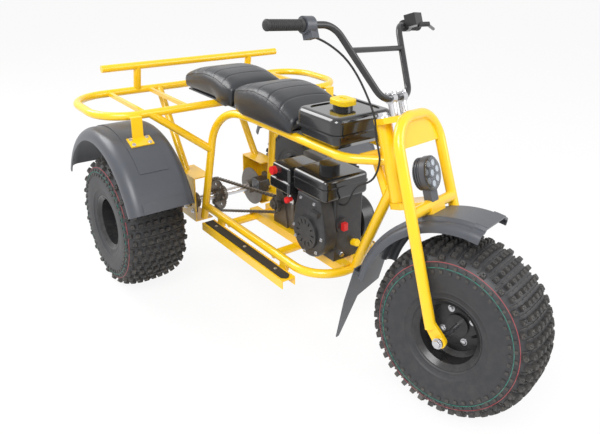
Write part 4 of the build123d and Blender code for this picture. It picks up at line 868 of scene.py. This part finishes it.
def tube_piece(name, points, radius, finish_name, body, replaced=(), order=3):
    """A round bar along a smooth line through control points, as a mesh."""
    data = bpy.data.curves.new(name, "CURVE")
    data.dimensions = "3D"
    data.bevel_depth = radius
    data.bevel_resolution = 3
    data.use_fill_caps = True
    data.resolution_u = 5
    spline = data.splines.new("NURBS")
    spline.points.add(len(points) - 1)
    for point, place in zip(spline.points, points):
        point.co = (*place, 1.0)
    spline.order_u = order
    spline.use_endpoint_u = True
    drawn = bpy.data.objects.new(name + "_line", data)
    bpy.context.scene.collection.objects.link(drawn)
    mesh = evaluated_mesh(drawn)
    bpy.data.objects.remove(drawn)
    bpy.data.curves.remove(data)
    mesh.name = name
    piece = bpy.data.objects.new(name, mesh)
    bpy.context.scene.collection.objects.link(piece)
    for polygon in mesh.polygons:
        polygon.use_smooth = True
    paint(piece, FINISH[finish_name])
    if body:
        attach(piece, body)
    if replaced:
        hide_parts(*replaced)
    return piece


def welt_line(pad, node, side):
    """Points along a pad's shoulder, just above its surface."""
    low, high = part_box(node)
    across = side * ((high.y - low.y) / 2 - WELT_IN)
    points = []
    for number in range(WELT_POINTS):
        x = low.x + 0.012 + (high.x - low.x - 0.024) * number / (WELT_POINTS - 1)
        hit, place = pad.ray_cast(Vector((x, across, high.z + 0.05)), Vector((0, 0, -1)))[:2]
        if hit:
            points.append(place + Vector((0, 0, WELT_R * 0.2)))
    return points


bpy.context.view_layer.update()
for node, name, shares in SADDLES:
    for label, side in (("right", -1), ("left", 1)):
        points = welt_line(bpy.data.objects[name], node, side)
        tube_piece(f"{name}_welt_{label}", points, WELT_R, "seat_vinyl", "frame")
print("welts on", len(SADDLES), "pads")

# %% [markdown]
# What turns with the steering is easiest to place in the steering head's own frame: forward, to the left,
# and up along the axis. The helper below gives a point of that frame as it stands in the photograph, with
# the bar turned a little to the left.

# %% Steering frame
STEER_REST = math.radians(16.2)
steer_axis = Vector(joints["steering"]["axis"]).normalized()
steer_head = Vector(joints["steering"]["pos_m"])
steer_ahead = Matrix.Rotation(STEER_REST, 3, steer_axis) @ Vector((steer_axis.z, 0.0, -steer_axis.x))
steer_left = steer_axis.cross(steer_ahead)


def steering(ahead, left, up):
    """A place given in millimetres forward, left and up the steering axis."""
    return steer_head + (steer_ahead * ahead + steer_left * left + steer_axis * up) / 1000


print("steering head at", [round(v, 3) for v in steer_head])

# %% [markdown]
# The lamp is a ring of small reflector cups behind glass. Each cup is a disc, inset ring by ring and pushed
# in to a shallow bowl, and stands on a dark plate. Bright cups on a dark plate read as a work lamp even when
# it is off. The glass in front is a thin lens, rounded at its rim.

# %% Lamp
LAMP_R = 0.052
LENS_BACK = 142.0
LAMP_UP = -48.0
CUP_R = 0.0135
CUPS_OUT = 0.0335


def disc_between(radius, depth, segments=48):
    bm = bmesh.new()
    bmesh.ops.create_cone(bm, cap_ends=True, segments=segments, radius1=radius, radius2=radius, depth=depth)
    bmesh.ops.translate(bm, vec=(0, 0, depth / 2), verts=bm.verts)
    return bm


def lamp_cup():
    """A bright bowl with a small dome in its middle."""
    bm = bmesh.new()
    bmesh.ops.create_circle(bm, cap_ends=True, segments=24, radius=CUP_R)
    face = list(bm.faces)
    for drop in (-0.0004, -0.0013, -0.0008):
        bmesh.ops.inset_region(bm, faces=face, thickness=CUP_R * 0.2, depth=drop, use_even_offset=True)
    middle = bmesh.ops.poke(bm, faces=face)["verts"]
    bmesh.ops.translate(bm, vec=(0, 0, 0.0020), verts=middle)
    bmesh.ops.translate(bm, vec=(0, 0, 0.0026), verts=bm.verts)
    return bm


lamp_frame = frame_of(steering(LENS_BACK, 0, LAMP_UP), steer_ahead, steer_left)
plate = disc_between(LAMP_R, 0.0006)
bmesh.ops.transform(plate, matrix=lamp_frame, verts=plate.verts)
make_piece(plate, "lamp_plate", "gloss_black", "steering")
cups = bmesh.new()
cup_places = [lamp_frame]
for number in range(7):
    angle = 2 * math.pi * number / 7
    out = (CUPS_OUT * math.cos(angle), CUPS_OUT * math.sin(angle), 0)
    cup_places.append(lamp_frame @ Matrix.Translation(out))
add_copies(cups, lamp_cup(), cup_places)
FINISH["lamp_mirror"] = finish("lamp_mirror", (0.92, 0.92, 0.90), 0.16, 0.05, 300.0, 0.02,
                               0.0002, 0.02, Metallic=0.6)
make_piece(cups, "lamp_cups", "lamp_mirror", "steering", (), 20.0)
lens = disc_between(LAMP_R, 0.0012)
rim = [edge for edge in lens.edges if all(vert.co.z > 0.0011 for vert in edge.verts)]
bmesh.ops.bevel(lens, geom=rim, offset=0.0008, segments=2, profile=0.5, affect="EDGES", material=-1)
bmesh.ops.transform(lens, matrix=lamp_frame @ Matrix.Translation((0, 0, 0.0028)), verts=lens.verts)
glass = FINISH["lens_glass"].node_tree.nodes["Principled BSDF"]
glass.inputs["Transmission Weight"].default_value = 1.0
glass.inputs["IOR"].default_value = 1.45
make_piece(lens, "lamp_glass", "lens_glass", "steering", ("headlamp_lens",))
print("lamp with", len(cup_places), "cups")

# %% [markdown]
# The grips are soft rubber with raised rings, a flange at the inner end and a domed outer end. One profile
# holds all of that, spun about the bar's own line.

# %% Grips
GRIP_L = 0.128
GRIP_END = (-40.0, 434.0, 465.0)
GRIP_BEND = (12.0, 192.0, 455.0)
GRIP_BORE = 0.0111
RING_COUNT = 15


def grip_profile():
    """Radius and place along the grip, from its domed end to its flange."""
    points = [(0.0006, -0.0040), (0.0100, -0.0038), (0.0150, -0.0022), (0.0170, 0.0006), (0.0170, 0.0060)]
    step = (GRIP_L - 0.022) / RING_COUNT
    for ring in range(RING_COUNT):
        start = 0.009 + ring * step
        points += [(0.0150, start), (0.0150, start + step * 0.35), (0.0166, start + step * 0.5),
                   (0.0166, start + step * 0.85)]
    points += [(0.0152, GRIP_L - 0.011), (0.0162, GRIP_L - 0.009), (0.0205, GRIP_L - 0.006),
               (0.0205, GRIP_L - 0.001), (GRIP_BORE, GRIP_L), (GRIP_BORE, 0.0004), (0.0006, 0.0004)]
    return points


grips = bmesh.new()
for side in (-1, 1):
    end = steering(GRIP_END[0], side * GRIP_END[1], GRIP_END[2])
    bend = steering(GRIP_BEND[0], side * GRIP_BEND[1], GRIP_BEND[2])
    grip = spun(grip_profile(), 32)
    along = frame_of(end, bend - end, steer_axis) @ Matrix.Rotation(math.pi / 2, 4, "X")
    add_copies(grips, grip, [along])
make_piece(grips, "ribbed_grips", "grip_rubber", "steering", ("grips",), 40.0)
print("grips with", RING_COUNT, "rings each")

# %% [markdown]
# Fasteners tell a reader how a machine is held together, so they sit where the real ones must be: on the
# fender brackets, the bearing flanges, the bar clamps, the steering stem, the axle ends and the engine. Each
# row gives a place, a direction and a size, in millimetres from the rear axle or in the steering frame.

# %% Fasteners
rear_axle_x = joints["rear_axle_spin"]["pos_m"][0]


def at(x, y, z):
    """A place in millimetres: ahead of the rear axle, to the left, and above the ground."""
    return Vector((rear_axle_x + x / 1000, y / 1000, z / 1000))


AXLE_Z = joints["rear_axle_spin"]["pos_m"][2] * 1000
BRACKET_R = 409.5                     # the bracket's top, from the axle
BRACKET_ANGLES = (65.6, 70.2)
BRACKET_SPREAD = 32.0
FENDER_MID = 478.0
BOX_WALL = 214.0                      # the outer wall of an axle box
FLANGE_HALF = 34.0
STEP_MID = 211.5
STEP_TOP = 249.0
STEP_SCREWS = (240.0, 470.0, 690.0)
STEM_TOP = 150.1                      # heights up the steering axis
CLAMP_TOP = 219.0
AXLE_NUT_OUT = 0.1688
SPROCKET_FACE = -91.2
SPROCKET_RING = 26.0
BRACKET_BOLT = (0.011, 0.006)         # width across flats and height, in metres
FLANGE_BOLT = (0.014, 0.009)
STEP_SCREW = (0.009, 0.0035)
STEM_NUT = (0.030, 0.018)
CLAMP_BOLT = (0.009, 0.010)
YOKE_BOLT = (0.015, 0.009)
AXLE_NUT = (0.022, 0.012)
SPROCKET_BOLT = (0.008, 0.005)
frame_rows = []
for side in (-1, 1):
    for angle in BRACKET_ANGLES:
        turn = math.radians(angle)
        outward = (math.cos(turn), 0.0, math.sin(turn))
        for across in (-BRACKET_SPREAD, BRACKET_SPREAD):
            up = AXLE_Z + BRACKET_R * outward[2]
            place = at(BRACKET_R * outward[0], side * FENDER_MID + across, up)
            frame_rows.append((place, outward, *BRACKET_BOLT))
    for along in (-FLANGE_HALF, FLANGE_HALF):
        for up in (-FLANGE_HALF, FLANGE_HALF):
            frame_rows.append((at(along, side * BOX_WALL, AXLE_Z + up), (0, side, 0), *FLANGE_BOLT))
    for along in STEP_SCREWS:
        frame_rows.append((at(along, side * STEP_MID, STEP_TOP), (0, 0, 1), *STEP_SCREW))
bolts_piece("frame_bolts", frame_rows, "frame")
steering_rows = [(steering(0, 0, STEM_TOP), steer_axis, *STEM_NUT)]
for side in (-1, 1):
    for along in (52.0, 78.0):
        steering_rows.append((steering(along, side * 33.0, CLAMP_TOP), steer_axis, *CLAMP_BOLT))
    steering_rows.append((steering(104.0, side * 30.0, STEM_TOP), steer_axis, *YOKE_BOLT))
bolts_piece("steering_bolts", steering_rows, "steering")
front_spin = Vector(joints["front_wheel_spin"]["pos_m"])
front_axis = Vector(joints["front_wheel_spin"]["axis"]).normalized()
nut_rows = [(front_spin + front_axis * side * AXLE_NUT_OUT, front_axis * side, *AXLE_NUT) for side in (-1, 1)]
bolts_piece("front_axle_nuts", nut_rows, "steering")
axle_rows = []
for number in range(6):
    turn = math.radians(60 * number + 30)
    place = at(SPROCKET_RING * math.cos(turn), SPROCKET_FACE, AXLE_Z + SPROCKET_RING * math.sin(turn))
    axle_rows.append((place, (0, -1, 0), *SPROCKET_BOLT))
bolts_piece("sprocket_bolts", axle_rows, "rear_axle", "dark_steel")
print("bolts:", len(frame_rows), "on the frame,", len(steering_rows), "on the steering")

# %% [markdown]
# The engine shows many small castings. The blower housing is held by flanged bolts round its rim, the
# carburettor hangs below the air filter with its bowl, the spark plug wears a rubber cap, and a filler and a
# drain plug close the sump. They are simple turned forms: stacked discs along one line, given as rows of
# start, length, lower radius and upper radius.

# %% Engine fittings
CRANK = (765.0, 404.0)
HOUSING_FACE = -119.6
HOUSING_RING = 84.0
HOUSING_BOLT = (0.009, 0.006)
FOOT_BOLT = (0.013, 0.009)
FINISH["guard_grey"] = finish("guard_grey", (0.23, 0.23, 0.235), 0.48, 0.15, 400.0, 0.2,
                              0.0005, 0.25, 12.0, 0.1)


def turned(rows, segments=28):
    """Discs stacked along Z, each from start, length, lower and upper radius."""
    bm = bmesh.new()
    for start, length, low_radius, high_radius in rows:
        made = bmesh.ops.create_cone(bm, cap_ends=True, segments=segments, radius1=low_radius,
                                     radius2=high_radius, depth=length)
        bmesh.ops.translate(bm, vec=(0, 0, start + length / 2), verts=made["verts"])
    return bm


def turned_piece(name, rows, place, ahead, finish_name, body="frame", segments=28):
    bm = turned(rows, segments)
    bmesh.ops.transform(bm, matrix=frame_of(place, ahead), verts=bm.verts)
    return make_piece(bm, name, finish_name, body)


housing_rows = []
for angle in (-150.0, -100.0, -50.0, 0.0, 180.0):
    turn = math.radians(angle)
    out = (HOUSING_RING * math.cos(turn), HOUSING_RING * math.sin(turn))
    place = at(CRANK[0] + out[0], HOUSING_FACE, CRANK[1] + out[1])
    housing_rows.append((place, (0, -1, 0), *HOUSING_BOLT))
for across in (-40.0, 40.0):
    housing_rows.append((at(CRANK[0] + across, HOUSING_FACE, 528.0), (0, -1, 0), *HOUSING_BOLT))
for along in (686.0, 838.0):
    for across in (-48.0, 62.0):
        housing_rows.append((at(along, across, 344.0), (0, 0, 1), *FOOT_BOLT))
bolts_piece("engine_bolts", housing_rows, "frame")
turned_piece("oil_filler", [(0, 0.010, 0.0135, 0.0135), (0.010, 0.012, 0.0105, 0.0105),
                            (0.022, 0.006, 0.015, 0.013)],
             at(850.0, 30.0, 352.0), (1, 0, 0.25), "yellow_plastic")
turned_piece("drain_plug", [(0, 0.008, 0.0105, 0.0105), (0.008, 0.006, 0.0085, 0.008)],
             at(850.0, -30.0, 322.0), (1, 0, 0), "bright_steel", segments=6)
turned_piece("carburettor_bowl", [(0, 0.018, 0.017, 0.021), (0.018, 0.016, 0.022, 0.022),
                                  (-0.010, 0.010, 0.005, 0.005)],
             at(628.0, -86.0, 468.0), (0, 0, 1), "bright_steel")
turned_piece("carburettor_throat", [(0, 0.060, 0.018, 0.018), (-0.006, 0.006, 0.026, 0.026),
                                    (0.060, 0.008, 0.026, 0.026)],
             at(590.0, -86.0, 506.0), (1, 0, 0), "engine_casting")
turned_piece("fuel_tap", [(0, 0.016, 0.009, 0.009), (0.016, 0.010, 0.013, 0.011)],
             at(652.0, -112.0, 494.0), (0, -1, 0), "red_plastic")
turned_piece("plug_cap", [(0, 0.030, 0.0105, 0.0095), (0.030, 0.012, 0.012, 0.010)],
             at(580.0, -34.0, 470.0), (-0.85, -0.35, 0.30), "grip_rubber")
paint(nodes["muffler"], FINISH["guard_grey"])
print("engine fittings: 6 turned pieces,", len(housing_rows), "bolts")

# %% [markdown]
# The throttle cable leaves its housing behind the bar, drops past the clamps to the steering head and goes
# on along the frame to the engine. It is one cable on two bodies, so one smooth line is drawn through the
# same points as the solid, and it rides on neither body.

# %% Throttle cable
CABLE_R = 0.0035
CABLE_ON_STEERING = (
    # forward, left, up the steering axis, in millimetres
    (-12.0, -268.0, 424.0), (-16.0, -205.0, 412.0), (12.0, -128.0, 330.0), (22.0, -74.0, 165.0),
    (-8.0, -50.0, 104.0), (-8.0, -50.0, 55.0), (-8.0, -50.0, 21.0),
)
CABLE_ON_FRAME = (
    # ahead of the rear axle, left, up, in millimetres
    (1046.0, -46.0, 708.0), (1010.0, -40.0, 660.0), (934.0, -44.0, 624.0), (892.0, -40.0, 524.0),
    (849.0, -40.0, 524.0),
)
cable_points = [steering(*row) for row in CABLE_ON_STEERING] + [at(*row) for row in CABLE_ON_FRAME]
cable = tube_piece("throttle_cable", cable_points, CABLE_R, "grip_rubber", None,
                   ("throttle_cable_upper", "throttle_cable_lower"))
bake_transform(cable)
cable_length = sum((b - a).length for a, b in zip(cable_points, cable_points[1:]))
print("throttle cable", round(cable_length, 3), "m by its points")
